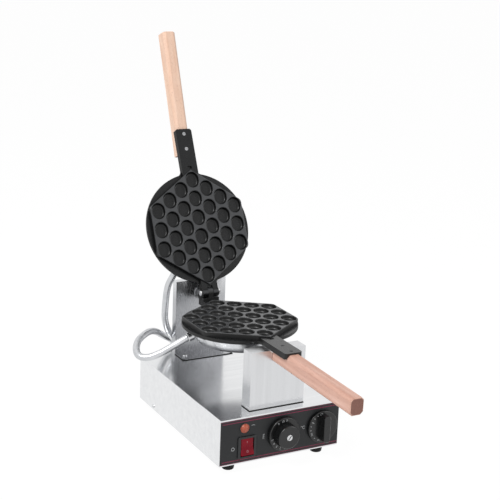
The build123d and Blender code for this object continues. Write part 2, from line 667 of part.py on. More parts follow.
def base_screws(places):
    """Pan-head screws down through a stainless foot into the case top."""
    screw = pan_head(POST_SCREW, POST_SCREW_HEAD, POST_SCREW_HEAD_HEIGHT, POST_SCREW_GRIP)
    return [Pos(x, y, CASE_TOP + POST_SHEET) * screw for x, y in places]


def bush_diameter():
    """Outside of the bush, round the shaft."""
    return SHAFT_DIAMETER + 2 * SHAFT_CLEARANCE + 2 * BUSH_WALL


def make_housing():
    """Steel block behind the post that holds the bush."""
    half = HOUSING_WIDTH / 2
    housing = block(-half, half, POST_FRONT + POST_SHEET, POST_REAR, SHAFT_Z - HOUSING_HEIGHT / 2,
                    SHAFT_Z + HOUSING_HEIGHT / 2)
    housing -= rod_y(bush_diameter(), POST_FRONT, POST_REAR + 1, 0, SHAFT_Z)
    return housing - [rod_y(HOUSING_SCREW, POST_FRONT, POST_REAR + 1, x, z) for x, z in housing_screw_places()]


def make_housing_studs():
    """Four studs welded to the inside of the post, with nuts behind the housing."""
    nut = Rot(90, 0, 0) * hexagon_bar(HOUSING_NUT_ACROSS, HOUSING_NUT_THICKNESS)
    tip = POST_REAR + HOUSING_NUT_THICKNESS + 1
    return [rod_y(HOUSING_SCREW, POST_FRONT + POST_SHEET, tip, x, z)
            + Pos(x, POST_REAR + HOUSING_NUT_THICKNESS / 2, z) * nut for x, z in housing_screw_places()]


def make_bush():
    """Flanged steel bush that the shaft turns in."""
    bush = rod_y(bush_diameter(), POST_FRONT, POST_REAR, 0, SHAFT_Z)
    bush += rod_y(BUSH_FLANGE_DIAMETER, POST_FRONT - BUSH_FLANGE_THICKNESS, POST_FRONT, 0, SHAFT_Z)
    return bush - rod_y(SHAFT_DIAMETER + 2 * SHAFT_CLEARANCE, POST_FRONT - 5, POST_REAR + 5, 0, SHAFT_Z)


# Irons, drawn with the cooking face up in the plane z=0 and the handle to -Y

def cavity_places():
    """Centres of the bubbles: columns along the handle, fewer towards the sides."""
    places = []
    for column in range(-CAVITY_COLUMNS, CAVITY_COLUMNS + 1):
        count = CAVITY_LONGEST - abs(column)
        for row in range(count):
            places.append((column * CAVITY_COLUMN_PITCH, (row - (count - 1) / 2) * CAVITY_ROW_PITCH))
    return places


def cavity_cutter():
    """One bubble: an oval cup with a rounded floor and a small chamfer at the rim."""
    mouth = SlotOverall(2 * (CAVITY_RADIUS + CAVITY_STRETCH), 2 * CAVITY_RADIUS)
    cup = extrude(Rot(0, 0, 90) * mouth, -CAVITY_DEPTH, taper=CAVITY_DRAFT)
    cup = fillet(cup.faces().sort_by(Axis.Z)[0].edges(), CAVITY_ROUND)
    wide = CAVITY_RADIUS + CAVITY_CHAMFER
    flare = extrude(Rot(0, 0, 90) * SlotOverall(2 * (wide + CAVITY_STRETCH), 2 * wide), -CAVITY_CHAMFER, taper=45)
    return cup + flare


def iron_plan(rear_end):
    """Round body with the front tongue and the rear neck, filleted where they meet."""
    plan = Circle(BODY_RADIUS)
    length = TONGUE_END + rear_end
    plan += Pos(0, (rear_end - TONGUE_END) / 2) * Rectangle(TONGUE_WIDTH, length)
    meet = math.sqrt(BODY_RADIUS ** 2 - (TONGUE_WIDTH / 2) ** 2)
    corners = [v for v in plan.vertices() if abs(abs(v.Y) - meet) < 0.01 and abs(abs(v.X) - TONGUE_WIDTH / 2) < 0.01]
    plan = fillet(corners, NECK_FILLET)
    return chamfer(plan.vertices().group_by(Axis.Y)[0], TONGUE_CORNER)


def hexagon_plate():
    """Raised cooking plate, a hexagon with a tip at the tongue and a tip at the hinge."""
    outline = make_face(Polyline(
        (0, HEX_TIP), (HEX_SIDE, HEX_SHOULDER), (HEX_SIDE, -HEX_SHOULDER),
        (0, -HEX_TIP), (-HEX_SIDE, -HEX_SHOULDER), (-HEX_SIDE, HEX_SHOULDER), close=True))
    sides = [v for v in outline.vertices() if abs(v.X) > 1]
    plate = extrude(fillet(sides, HEX_ROUND), -BODY_BOTTOM)
    return chamfer(plate.faces().sort_by(Axis.Z)[-1].edges(), HEX_CHAMFER)


def dish_screw_places():
    """Three screws that hold the heater cover, one towards the handle."""
    return [(DISH_SCREW_CIRCLE * math.sin(math.radians(a)), -DISH_SCREW_CIRCLE * math.cos(math.radians(a)))
            for a in (0, 120, 240)]


def iron_body(rear_end):
    """Casting common to both irons, without the hinge."""
    plan = iron_plan(rear_end)
    body = extrude(plan, -(TONGUE_BOTTOM - BODY_STEP))
    body = Pos(0, 0, -BODY_STEP) * body
    disc = rod_z(2 * BODY_RADIUS, -BODY_BOTTOM, -BODY_STEP)
    body += chamfer(disc.faces().sort_by(Axis.Z)[0].edges(), ROUND_CHAMFER)
    band = plan & Pos(0, -(TONGUE_END + HEX_SIDE) / 2) * Rectangle(TONGUE_WIDTH, TONGUE_END - HEX_SIDE)
    back = plan & Pos(0, (rear_end + HEX_SIDE) / 2) * Rectangle(TONGUE_WIDTH, rear_end - HEX_SIDE)
    for strip in (band, back):
        body += Pos(0, 0, -BODY_STEP) * extrude(strip, BODY_STEP - TONGUE_TOP)
    body += hexagon_plate()
    for x, y in dish_screw_places():
        body += rod_z(DISH_BOSS_DIAMETER, -DISH_BOTTOM + DISH_SHEET, -BODY_BOTTOM + 1, x, y)
        body -= rod_z(DISH_SCREW, -DISH_BOTTOM, -DISH_BOTTOM + DISH_SHEET + DISH_SCREW_BITE, x, y)
    cutter = cavity_cutter()
    body -= [Pos(x, y, 0) * cutter for x, y in cavity_places()]
    tip = Pos(0, -TONGUE_END, -TONGUE_BOTTOM) * Rot(45, 0, 0) * Box(2 * TONGUE_WIDTH, TONGUE_BEVEL * 1.414,
                                                                   TONGUE_BEVEL * 1.414)
    body -= tip
    notch_top = -TONGUE_TOP
    body -= block(-NOTCH_WIDTH / 2, NOTCH_WIDTH / 2, -NOTCH_REACH - NOTCH_LENGTH / 2, -NOTCH_REACH + NOTCH_LENGTH / 2,
                  notch_top - NOTCH_DEPTH, notch_top + 5)
    for place in TONGUE_SCREW_PLACES:
        body -= Pos(0, -place, -TONGUE_TOP - TONGUE_SCREW_HEAD_DEPTH / 2) * Cone(
            TONGUE_SCREW / 2, TONGUE_SCREW_HEAD / 2, TONGUE_SCREW_HEAD_DEPTH)
        body -= rod_z(TONGUE_SCREW, -TONGUE_BOTTOM - 1, -TONGUE_TOP - TONGUE_SCREW_HEAD_DEPTH, 0, -place)
    return body


def make_lower_iron():
    """Lower casting with the hinge knuckle and the boss for the turning shaft."""
    body = iron_body(EAR_BLOCK_REAR)
    half = KNUCKLE_WIDTH / 2
    outer = TONGUE_WIDTH / 2
    shaft_z = PLATE_GAP / 2
    body += block(-outer, outer, EAR_BLOCK_FRONT, EAR_BLOCK_REAR, -TONGUE_BOTTOM, HINGE_BLOCK_TOP)
    for side in (-1, 1):
        x0, x1 = sorted((side * half, side * (outer + 1)))
        body -= rod_x(2 * (HINGE_RADIUS + EAR_GAP), x0, x1, HINGE_REACH, HINGE_RISE)
    body += block(-half, half, HINGE_REACH - KNUCKLE_RADIUS, EAR_BLOCK_REAR, -TONGUE_BOTTOM, HINGE_RISE)
    body += rod_x(2 * KNUCKLE_RADIUS, -half, half, HINGE_REACH, HINGE_RISE)
    boss = rod_y(BOSS_DIAMETER, EAR_BLOCK_REAR, BOSS_REAR, 0, shaft_z)
    body += chamfer(boss.faces().sort_by(Axis.Y)[-1].edges(), 1.5)
    body -= rod_x(PIN_DIAMETER, -half - 1, half + 1, HINGE_REACH, HINGE_RISE)
    return body - rod_y(SHAFT_DIAMETER, BOSS_REAR - SHAFT_SEAT, BOSS_REAR + 1, 0, shaft_z)


def make_upper_iron():
    """Upper casting, still with its face up, with a fork round the lower iron's knuckle."""
    body = iron_body(HINGE_REACH)
    drop = PLATE_GAP - HINGE_RISE
    inner = KNUCKLE_WIDTH / 2 + EAR_GAP
    outer = TONGUE_WIDTH / 2
    body += rod_x(2 * HINGE_RADIUS, -outer, outer, HINGE_REACH, drop)
    body -= block(-inner, inner, LID_NECK_END, HINGE_REACH + 2 * HINGE_RADIUS, -TONGUE_WIDTH, TONGUE_WIDTH)
    return body - rod_x(PIN_DIAMETER + 2 * PIN_CLEARANCE, -outer - 1, outer + 1, HINGE_REACH, drop)


def make_handle(tilt):
    """Eight-sided beech bar, rebated for the tongue and tilted down by some degrees."""
    half = HANDLE_WIDTH / 2
    bar = block(-half, half, -HANDLE_LENGTH, 0, -HANDLE_HEIGHT, 0)
    bar = chamfer(bar.edges().filter_by(Axis.Y), HANDLE_CHAMFER)
    bar = chamfer(bar.faces().sort_by(Axis.Y)[0].edges(), HANDLE_END_CHAMFER)
    bar = Pos(0, -TONGUE_END, -HANDLE_SEAT) * Rot(tilt, 0, 0) * Pos(0, HANDLE_SEAT_LENGTH, 0) * bar
    bar -= block(-TONGUE_WIDTH, TONGUE_WIDTH, -TONGUE_END, 0, -TONGUE_BOTTOM, TONGUE_WIDTH)
    depth = TONGUE_BOTTOM + TONGUE_SCREW_BITE
    return bar - [rod_z(TONGUE_SCREW, -depth, -TONGUE_BOTTOM + 1, 0, -y) for y in TONGUE_SCREW_PLACES]


def make_handle_screws():
    """Two countersunk screws from the tongue into the beech."""
    screw = countersunk(TONGUE_SCREW, TONGUE_SCREW_HEAD, TONGUE_SCREW_HEAD_DEPTH,
                        TONGUE_BOTTOM - TONGUE_TOP + TONGUE_SCREW_BITE)
    return [Pos(0, -y, -TONGUE_TOP) * screw for y in TONGUE_SCREW_PLACES]


def ferrule_frame(angle):
    """Place on the cover's wall where a fitting leaves, with Z pointing out and a little away."""
    a = math.radians(angle)
    outward = Vector(math.cos(a), math.sin(a), 0) * math.cos(math.radians(FERRULE_TILT))
    outward += Vector(0, 0, -math.sin(math.radians(FERRULE_TILT)))
    origin = Vector(FERRULE_REACH * math.cos(a), FERRULE_REACH * math.sin(a), -BODY_BOTTOM - FERRULE_DEPTH)
    return Plane(origin=origin, z_dir=outward)


def make_dish(angle):
    """Spun heater cover: a sloping wall with a rim under the casting."""
    top, low, t = -BODY_BOTTOM, -DISH_BOTTOM, DISH_SHEET
    lean = (DISH_RADIUS - DISH_FLOOR) / (DISH_DEPTH - t)
    inside = lean * t - t * math.hypot(1, lean)
    profile = make_face(Polyline(
        (0, low), (DISH_FLOOR, low), (DISH_RADIUS, top - t), (DISH_RIM, top - t), (DISH_RIM, top),
        (DISH_RADIUS + inside, top), (DISH_FLOOR + inside, low + t), (0, low + t), close=True))
    for corner, bend in (((DISH_FLOOR, low), DISH_ROUND), ((DISH_FLOOR + inside, low + t), DISH_ROUND - t)):
        profile = fillet(profile.vertices().sort_by_distance(corner)[:1], bend)
    dish = revolve(Plane.XZ * profile, Axis.Z)
    dish -= [rod_z(DISH_SCREW, low - 1, low + 2 * t, x, y) for x, y in dish_screw_places()]
    return dish - ferrule_frame(angle) * Cylinder(FERRULE_NECK / 2, 16)


def make_dish_screws():
    """Three screws up through the cover into the casting's bosses."""
    screw = Rot(180, 0, 0) * pan_head(DISH_SCREW, DISH_SCREW_HEAD, DISH_SCREW_HEAD_HEIGHT,
                                      DISH_SHEET + DISH_SCREW_BITE)
    return [Pos(x, y, -DISH_BOTTOM) * screw for x, y in dish_screw_places()]


def make_heater(angle):
    """Tubular heater bent to an open ring, with two terminal pins towards the fitting."""
    z = -BODY_BOTTOM - HEATER_GAP - HEATER_DIAMETER / 2
    section = Plane.XZ * Pos(HEATER_RING, 0) * Circle(HEATER_DIAMETER / 2)
    ring = revolve(section, Axis.Z, 360 - HEATER_OPENING)
    for turn in (0, 360 - HEATER_OPENING):
        pin = rod_x(TERMINAL_DIAMETER, HEATER_RING, HEATER_RING + TERMINAL_LENGTH)
        ring += Rot(0, 0, turn) * pin
    return Pos(0, 0, z) * Rot(0, 0, angle + HEATER_OPENING / 2) * ring


def make_wool():
    """Ceramic-wool disc between the heater and the cover."""
    low = -DISH_BOTTOM + DISH_SHEET + HEATER_GAP
    return rod_z(2 * WOOL_RADIUS, low, low + WOOL_THICKNESS)


def make_ferrule(angle):
    """Bored conduit fitting through the cover's wall, with a lock nut inside."""
    frame = ferrule_frame(angle)
    body = chamfer(rod_z(FERRULE_DIAMETER, FERRULE_STAND, FERRULE_LENGTH).edges().group_by(Axis.Z)[-1], 0.8)
    body += rod_z(FERRULE_NECK, -FERRULE_INSIDE - FERRULE_NUT_THICKNESS, FERRULE_STAND)
    body -= Cylinder(FERRULE_BORE / 2, 4 * FERRULE_LENGTH)
    nut = Pos(0, 0, -FERRULE_INSIDE - FERRULE_NUT_THICKNESS / 2) * hexagon_bar(FERRULE_NUT, FERRULE_NUT_THICKNESS)
    nut -= Cylinder(FERRULE_NECK / 2, 4 * FERRULE_LENGTH)
    return [frame * body, frame * nut]


def pin_reach():
    """Distance from the hinge's middle to the underside of the pin's head."""
    return TONGUE_WIDTH / 2 + PIN_PLAY


def make_hinge_pin():
    """Hinge pin with a slotted head and a nut."""
    reach = pin_reach()
    pin = rod_x(PIN_DIAMETER, -reach, reach + PIN_NUT_THICKNESS, HINGE_REACH, HINGE_RISE)
    head = rod_x(PIN_HEAD_DIAMETER, -reach - PIN_HEAD_THICKNESS, -reach, HINGE_REACH, HINGE_RISE)
    head = fillet(head.faces().sort_by(Axis.X)[0].edges(), 0.9)
    slot = block(-reach - PIN_HEAD_THICKNESS - 1, -reach - PIN_HEAD_THICKNESS + PIN_SLOT_DEPTH,
                 HINGE_REACH - PIN_HEAD_DIAMETER, HINGE_REACH + PIN_HEAD_DIAMETER,
                 HINGE_RISE - PIN_SLOT_WIDTH / 2, HINGE_RISE + PIN_SLOT_WIDTH / 2)
    return pin + (head - slot)


def make_hinge_nut():
    """Nut on the right end of the hinge pin."""
    nut = Rot(0, 90, 0) * hexagon_bar(PIN_NUT_ACROSS, PIN_NUT_THICKNESS)
    nut = Pos(pin_reach() + PIN_NUT_THICKNESS / 2, HINGE_REACH, HINGE_RISE) * nut
    return nut - rod_x(PIN_DIAMETER, 0, 2 * TONGUE_WIDTH, HINGE_REACH, HINGE_RISE)


def shaft_end():
    """Rear end of the turning shaft, from the plate's middle."""
    return POST_REAR - PLATE_Y + SHAFT_TAIL


def make_shaft():
    """Steel shaft pressed into the lower casting's boss."""
    return rod_y(SHAFT_DIAMETER, BOSS_REAR - SHAFT_SEAT, shaft_end(), 0, PLATE_GAP / 2)


def make_shaft_washer():
    """Washer between the housing and the nut, with room to turn."""
    front = POST_REAR - PLATE_Y + 0.3
    washer = rod_y(SHAFT_WASHER_DIAMETER, front, front + SHAFT_WASHER_THICKNESS, 0, PLATE_GAP / 2)
    return washer - rod_y(SHAFT_DIAMETER, front - 1, front + 5, 0, PLATE_GAP / 2)


def make_shaft_nut():
    """Nut that keeps the shaft in its bush."""
    front = POST_REAR - PLATE_Y + 0.3 + SHAFT_WASHER_THICKNESS
    nut = Rot(90, 0, 0) * hexagon_bar(SHAFT_NUT_ACROSS, SHAFT_NUT_THICKNESS)
    nut = Pos(0, front + SHAFT_NUT_THICKNESS / 2, PLATE_GAP / 2) * nut
    return nut - rod_y(SHAFT_DIAMETER, front - 1, front + SHAFT_NUT_THICKNESS + 1, 0, PLATE_GAP / 2)


def make_bulb():
    """Thermostat bulb held against the underside of the lower casting."""
    z = -BODY_BOTTOM - BULB_DIAMETER / 2 - HEATER_GAP
    return rod_y(BULB_DIAMETER, -BULB_LENGTH / 2, BULB_LENGTH / 2, 0, z)


def lower_place(shape):
    """Move a piece of the lower iron to its place on the machine."""
    return Pos(0, PLATE_Y, PLATE_Z) * shape


def upper_place(shape):
    """Turn a piece of the upper iron over, and swing it open about the hinge."""
    closed = Pos(0, -HINGE_REACH, PLATE_GAP - HINGE_RISE) * mirror(shape, about=Plane.XY)
    return Pos(0, HINGE_Y, HINGE_Z) * Rot(-OPEN_ANGLE, 0, 0) * closed


# Conduits

def elbow_mouth(elbow):
    """Centre of the elbow's open top, from its place across, its reach and its drop."""
    x, reach, below = elbow
    return (x, CASE_REAR + reach, CASE_TOP - below)


def elbow_z(elbow):
    """Height of the hole in the rear wall for an elbow."""
    return elbow_mouth(elbow)[2] - ELBOW_DROP


def make_elbow(elbow_place):
    """Right-angle conduit fitting on the rear wall, with a collar at its mouth."""
    x, y, mouth = elbow_mouth(elbow_place)
    z = mouth - ELBOW_DROP
    elbow = rod_y(ELBOW_DIAMETER, CASE_REAR, y, x, z) + Pos(x, y, z) * Sphere(ELBOW_DIAMETER / 2)
    elbow += rod_z(ELBOW_DIAMETER, z, mouth, x, y)
    elbow += rod_z(ELBOW_COLLAR, mouth - ELBOW_COLLAR_LENGTH, mouth, x, y)
    elbow += rod_y(ELBOW_BORE + 3, CASE_REAR - SHEET - 5, CASE_REAR, x, z)
    elbow -= rod_y(ELBOW_BORE, CASE_REAR - 10, y, x, z) + Pos(x, y, z) * Sphere(ELBOW_BORE / 2)
    return elbow - rod_z(ELBOW_BORE, z, mouth + 1, x, y)


def make_elbow_nut(elbow):
    """Lock nut inside the case."""
    x, z = elbow[0], elbow_z(elbow)
    nut = Pos(x, CASE_REAR - SHEET - 2, z) * Rot(90, 0, 0) * hexagon_bar(ELBOW_DIAMETER + 2, 4)
    return nut - rod_y(ELBOW_BORE + 3, CASE_REAR - 10, CASE_REAR, x, z)


def make_mains_gland():
    """Black gland for the mains lead, which isn't modelled."""
    z = CASE_BOTTOM + MAINS_GLAND_RISE
    gland = rod_y(MAINS_GLAND_DIAMETER + 4, CASE_REAR, CASE_REAR + 5, MAINS_GLAND_X, z)
    cone = Pos(MAINS_GLAND_X, CASE_REAR + 5 + (MAINS_GLAND_LENGTH - 5) / 2, z) * Rot(-90, 0, 0)
    gland += cone * Cone(MAINS_GLAND_DIAMETER / 2, MAINS_GLAND_DIAMETER / 2 - 3, MAINS_GLAND_LENGTH - 5)
    gland += rod_y(MAINS_GLAND_DIAMETER - 4, CASE_REAR - SHEET - 6, CASE_REAR, MAINS_GLAND_X, z)
    return gland - rod_y(MAINS_GLAND_BORE, CASE_REAR - 20, CASE_REAR + 40, MAINS_GLAND_X, z)


def conduit_route(points):
    """Straight runs joined by tangent arcs, each as large as its two runs allow."""
    vectors = [Vector(*p) for p in points]
    lengths = [(b - a).length for a, b in zip(vectors, vectors[1:])]
    shares = [0.9] + [0.45] * (len(lengths) - 2) + [0.9]
    free = [length * share for length, share in zip(lengths, shares)]
    radii = []
    for i, (before, corner, after) in enumerate(zip(vectors, vectors[1:], vectors[2:])):
        turn = math.radians((corner - before).get_angle(after - corner))
        radii.append(min(free[i], free[i + 1]) / math.tan(turn / 2))
    print("  bend radii", [round(r, 1) for r in radii])
    return FilletPolyline(*points, radius=radii)


def make_conduit(points):
    """A conduit as a plain round tube along its route."""
    route = conduit_route(points)
    tube = sweep(Plane(origin=route @ 0, z_dir=route % 0) * Circle(CONDUIT_DIAMETER / 2), path=route)
    expected = math.pi * CONDUIT_DIAMETER ** 2 / 4 * route.length
    print(f"  length {route.length:.1f}, volume {tube.volume:.0f}, section times length {expected:.0f}")
    return tube


def ferrule_mouth(angle, place):
    """Two points on a placed fitting's axis: its open end, and one further out."""
    frame = ferrule_frame(angle)
    ends = [frame.from_local_coords((0, 0, FERRULE_LENGTH)), frame.from_local_coords((0, 0, FERRULE_LENGTH + 20))]
    return [tuple(place(Pos(*tuple(p)) * Sphere(1)).center()) for p in ends]


def along(start, towards, distance):
    """The point at a distance from the start on the way to another point."""
    a, b = Vector(*start), Vector(*towards)
    return tuple(a + (b - a).normalized() * distance)


LOWER_MOUTH, LOWER_WAY = ferrule_mouth(LOWER_FERRULE_ANGLE, lower_place)
UPPER_MOUTH, UPPER_WAY = ferrule_mouth(UPPER_FERRULE_ANGLE, upper_place)
LOWER_SOCKET = elbow_mouth(LOWER_ELBOW)
UPPER_SOCKET = elbow_mouth(UPPER_ELBOW)

LOWER_ROUTE = [
    LOWER_MOUTH,
    along(LOWER_MOUTH, LOWER_WAY, 6.0),
    (-149.0, 16.0, 146.0),
    (-171.0, 33.0, 143.8),
    (-158.5, 69.0, 156.5),
    (-120.0, 107.0, 159.0),
    (-90.0, 138.5, 146.0),
    (-52.0, 184.5, 116.0),
    (LOWER_SOCKET[0], LOWER_SOCKET[1], 105.0),
    LOWER_SOCKET,
]
SPLIT_TOP = (-66.5, 151.2, 189.3)
SPLIT_LOW = (-64.4, 157.8, 149.9)
SPLIT = along(SPLIT_TOP, SPLIT_LOW, 20.0)
UPPER_ROUTE = [
    UPPER_MOUTH,
    along(UPPER_MOUTH, UPPER_WAY, 6.0),
    (-63.4, 150.5, 223.0),
    SPLIT_TOP,
    SPLIT,
]
TAIL_ROUTE = [
    SPLIT,
    SPLIT_LOW,
    (-37.0, 169.0, 107.9),
    (UPPER_SOCKET[0], UPPER_SOCKET[1], 103.0),
    UPPER_SOCKET,
]


def write_base():
    """Write everything that stays with the base."""
    save("base_case", make_case())
    save("bottom_plate", make_bottom_plate())
    save("case_side_screws", side_screw(-1), side_screw(1))
    save("front_panel", make_panel())
    save("panel_overlay", make_overlay())
    save("rubber_feet", *make_feet())
    save("foot_screws", *make_foot_screws())
    save("control_screws", *make_control_screws())
    save("indicator_lens", make_lamp())
    save("indicator_lamp", make_lamp_body())
    save("switch_housing", make_switch_body())
    save("timer_body", make_timer_body())
    save("thermostat_body", make_thermostat_body())
    save("terminal_block", make_terminal_block())
    save("front_rest", make_front_rest())
    save("front_rest_screws", *base_screws(rest_screw_places()))
    save("rear_post", make_rear_post())
    save("rear_post_screws", *base_screws(post_screw_places()))
    save("shaft_housing", make_housing())
    save("shaft_housing_studs", *make_housing_studs())
    save("shaft_bush", make_bush())
    save("lower_conduit_elbow", make_elbow(LOWER_ELBOW))
    save("upper_conduit_elbow", make_elbow(UPPER_ELBOW))
    save("conduit_lock_nuts", make_elbow_nut(LOWER_ELBOW), make_elbow_nut(UPPER_ELBOW))
    save("mains_gland", make_mains_gland())


def write_controls():
    """Write the rocker, the timer knob and the temperature dial."""
    save("power_rocker", make_rocker())
    save("timer_knob", make_timer_knob())
    save("timer_knob_cap", make_timer_cap())
    save("timer_shaft", control_shaft(TIMER_X, KNOB_BACK - SKIRT_THICKNESS - TIMER_GRIP_LENGTH + 4))
    save("temperature_dial", make_dial())
    save("thermostat_shaft", control_shaft(DIAL_X, KNOB_BACK - DIAL_THICKNESS - DIAL_GRIP_DEPTH + 5))


def write_iron(name, casting, angle, tilt, place):
    """Write one iron with its cover, heater, handle and fittings."""
    save(f"{name}_iron", place(casting))
    save(f"{name}_heater_cover", place(make_dish(angle)))
    save(f"{name}_cover_screws", *[place(screw) for screw in make_dish_screws()])
    save(f"{name}_heater", place(make_heater(angle)))
    save(f"{name}_heater_wool", place(make_wool()))
    save(f"{name}_handle", place(make_handle(tilt)))
    save(f"{name}_handle_screws", *[place(screw) for screw in make_handle_screws()])
    save(f"{name}_conduit_ferrule", *[place(piece) for piece in make_ferrule(angle)])


def write_conduits():
    """Write the two flexible conduits, the longer one in two lengths."""
    for name, points in (("lower_conduit", LOWER_ROUTE), ("upper_conduit", UPPER_ROUTE),
                         ("upper_conduit_tail", TAIL_ROUTE)):
        print(name)
        save(name, make_conduit(points))


write_base()
write_controls()
write_iron("lower", make_lower_iron(), LOWER_FERRULE_ANGLE, LOWER_HANDLE_TILT, lower_place)
write_iron("upper", make_upper_iron(), UPPER_FERRULE_ANGLE, UPPER_HANDLE_TILT, upper_place)
save("thermostat_bulb", lower_place(make_bulb()))
save("hinge_pin", lower_place(make_hinge_pin()))
save("hinge_pin_nut", lower_place(make_hinge_nut()))
save("turning_shaft", lower_place(make_shaft()))
save("shaft_washer", lower_place(make_shaft_washer()))
save("shaft_nut", lower_place(make_shaft_nut()))
write_conduits()
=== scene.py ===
"""Dresses the solids of a bubble waffle maker: finishes, prints, sleeves, lamps and camera."""
from __future__ import annotations

import logging
import math
from collections.abc import Callable, Sequence
from dataclasses import dataclass, field
from enum import Enum

import bmesh
import bpy
from mathutils import Matrix, Vector

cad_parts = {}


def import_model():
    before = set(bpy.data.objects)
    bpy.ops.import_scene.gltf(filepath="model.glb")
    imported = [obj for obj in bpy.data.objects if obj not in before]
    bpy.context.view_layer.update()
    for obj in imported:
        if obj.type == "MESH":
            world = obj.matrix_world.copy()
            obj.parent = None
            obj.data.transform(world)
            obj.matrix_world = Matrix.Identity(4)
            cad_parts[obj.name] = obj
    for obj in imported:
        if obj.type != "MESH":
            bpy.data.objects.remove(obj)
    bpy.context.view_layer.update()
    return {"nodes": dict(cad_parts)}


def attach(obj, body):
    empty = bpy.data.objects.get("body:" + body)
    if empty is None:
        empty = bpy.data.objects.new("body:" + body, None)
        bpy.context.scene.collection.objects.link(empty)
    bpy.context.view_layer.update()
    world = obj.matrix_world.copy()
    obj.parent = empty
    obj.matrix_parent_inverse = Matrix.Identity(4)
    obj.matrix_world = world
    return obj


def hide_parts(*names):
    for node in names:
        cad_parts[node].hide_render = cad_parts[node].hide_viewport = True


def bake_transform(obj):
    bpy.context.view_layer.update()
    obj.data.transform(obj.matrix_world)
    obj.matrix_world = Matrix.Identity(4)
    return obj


Tree, Node, Socket, Piece = bpy.types.NodeTree, bpy.types.Node, bpy.types.NodeSocket, bpy.types.Object

LOG = logging.getLogger("waffle_maker")
MM = 0.001
MACHINE_MIDDLE = 21.7

PLATE_MIDDLE = (0.0, -7.0, 205.5)
HINGE = (0.0, 110.5, 215.5)
OPEN_ANGLE = 115.3
HINGE_RISE = 10.0
PLATE_GAP = 1.0
PANEL_MIDDLE = 54.25
FILM_FRONT = -158.3
TIMER_ACROSS = 4.5
DIAL_ACROSS = 77.5
SWITCH_ACROSS = -62.0


class Body(str, Enum):
    """The bodies of the frame that a piece can ride on."""

    BASE = "base"
    LOWER = "lower_iron"
    UPPER = "upper_iron"
    TIMER = "timer_dial"
    THERMOSTAT = "thermostat_dial"
    ROCKER = "rocker"


class Axis(Enum):
    """The three directions of the frame."""

    X = 0
    Y = 1
    Z = 2


def at(x: float, y: float, z: float) -> Vector:
    """A point given in millimetres about the middle of the base, in metres in the frame."""
    return Vector((x, y + MACHINE_MIDDLE, z)) * MM


def colour(code: str) -> tuple[float, float, float, float]:
    """The linear colour, with alpha 1, of an sRGB hex value such as "#0b0c0d"."""
    parts = [int(code[i:i + 2], 16) / 255 for i in (1, 3, 5)]
    linear = [p / 12.92 if p <= 0.04045 else ((p + 0.055) / 1.055) ** 2.4 for p in parts]
    return (*linear, 1.0)


def add_node(tree: Tree, kind: str, settings: dict | None = None, inputs: dict | None = None) -> Node:
    """Adds one node with its settings and links.

    Args:
        tree: The node tree that gets it.
        kind: The node's type name.
        settings: Its own properties; "stops" fills a colour ramp with (place, colour) pairs.
        inputs: Values or output sockets for its inputs, by name or number.

    Returns:
        The new node.
    """
    node = tree.nodes.new(kind)
    for name, value in (settings or {}).items():
        if name == "stops":
            ramp = node.color_ramp.elements
            while len(ramp) < len(value):
                ramp.new(0.5)
            for element, (place, shade) in zip(ramp, value):
                element.position, element.color = place, shade
        else:
            setattr(node, name, value)
    for name, value in (inputs or {}).items():
        if isinstance(value, Socket):
            tree.links.new(value, node.inputs[name])
        else:
            node.inputs[name].default_value = value
    return node


def fresh_tree(owner: bpy.types.Material | bpy.types.World) -> Tree:
    """The node tree of a material or a world, with nothing in it."""
    owner.use_nodes = True
    owner.node_tree.nodes.clear()
    return owner.node_tree


def calculate(tree: Tree, operation: str, *values: object) -> Socket:
    """The result of one math node on numbers or sockets."""
    node = add_node(tree, "ShaderNodeMath", {"operation": operation}, dict(enumerate(values)))
    return node.outputs[0]


def remap(tree: Tree, value: Socket, source: Sequence[float], target: Sequence[object] = (0.0, 1.0),
          curve: str = "LINEAR") -> Socket:
    """Takes a value from the source's range to the target's, and stops at the ends."""
    node = add_node(tree, "ShaderNodeMapRange", {"interpolation_type": curve}, {
        "Value": value, "From Min": source[0], "From Max": source[1], "To Min": target[0],
        "To Max": target[1]})
    return node.outputs["Result"]


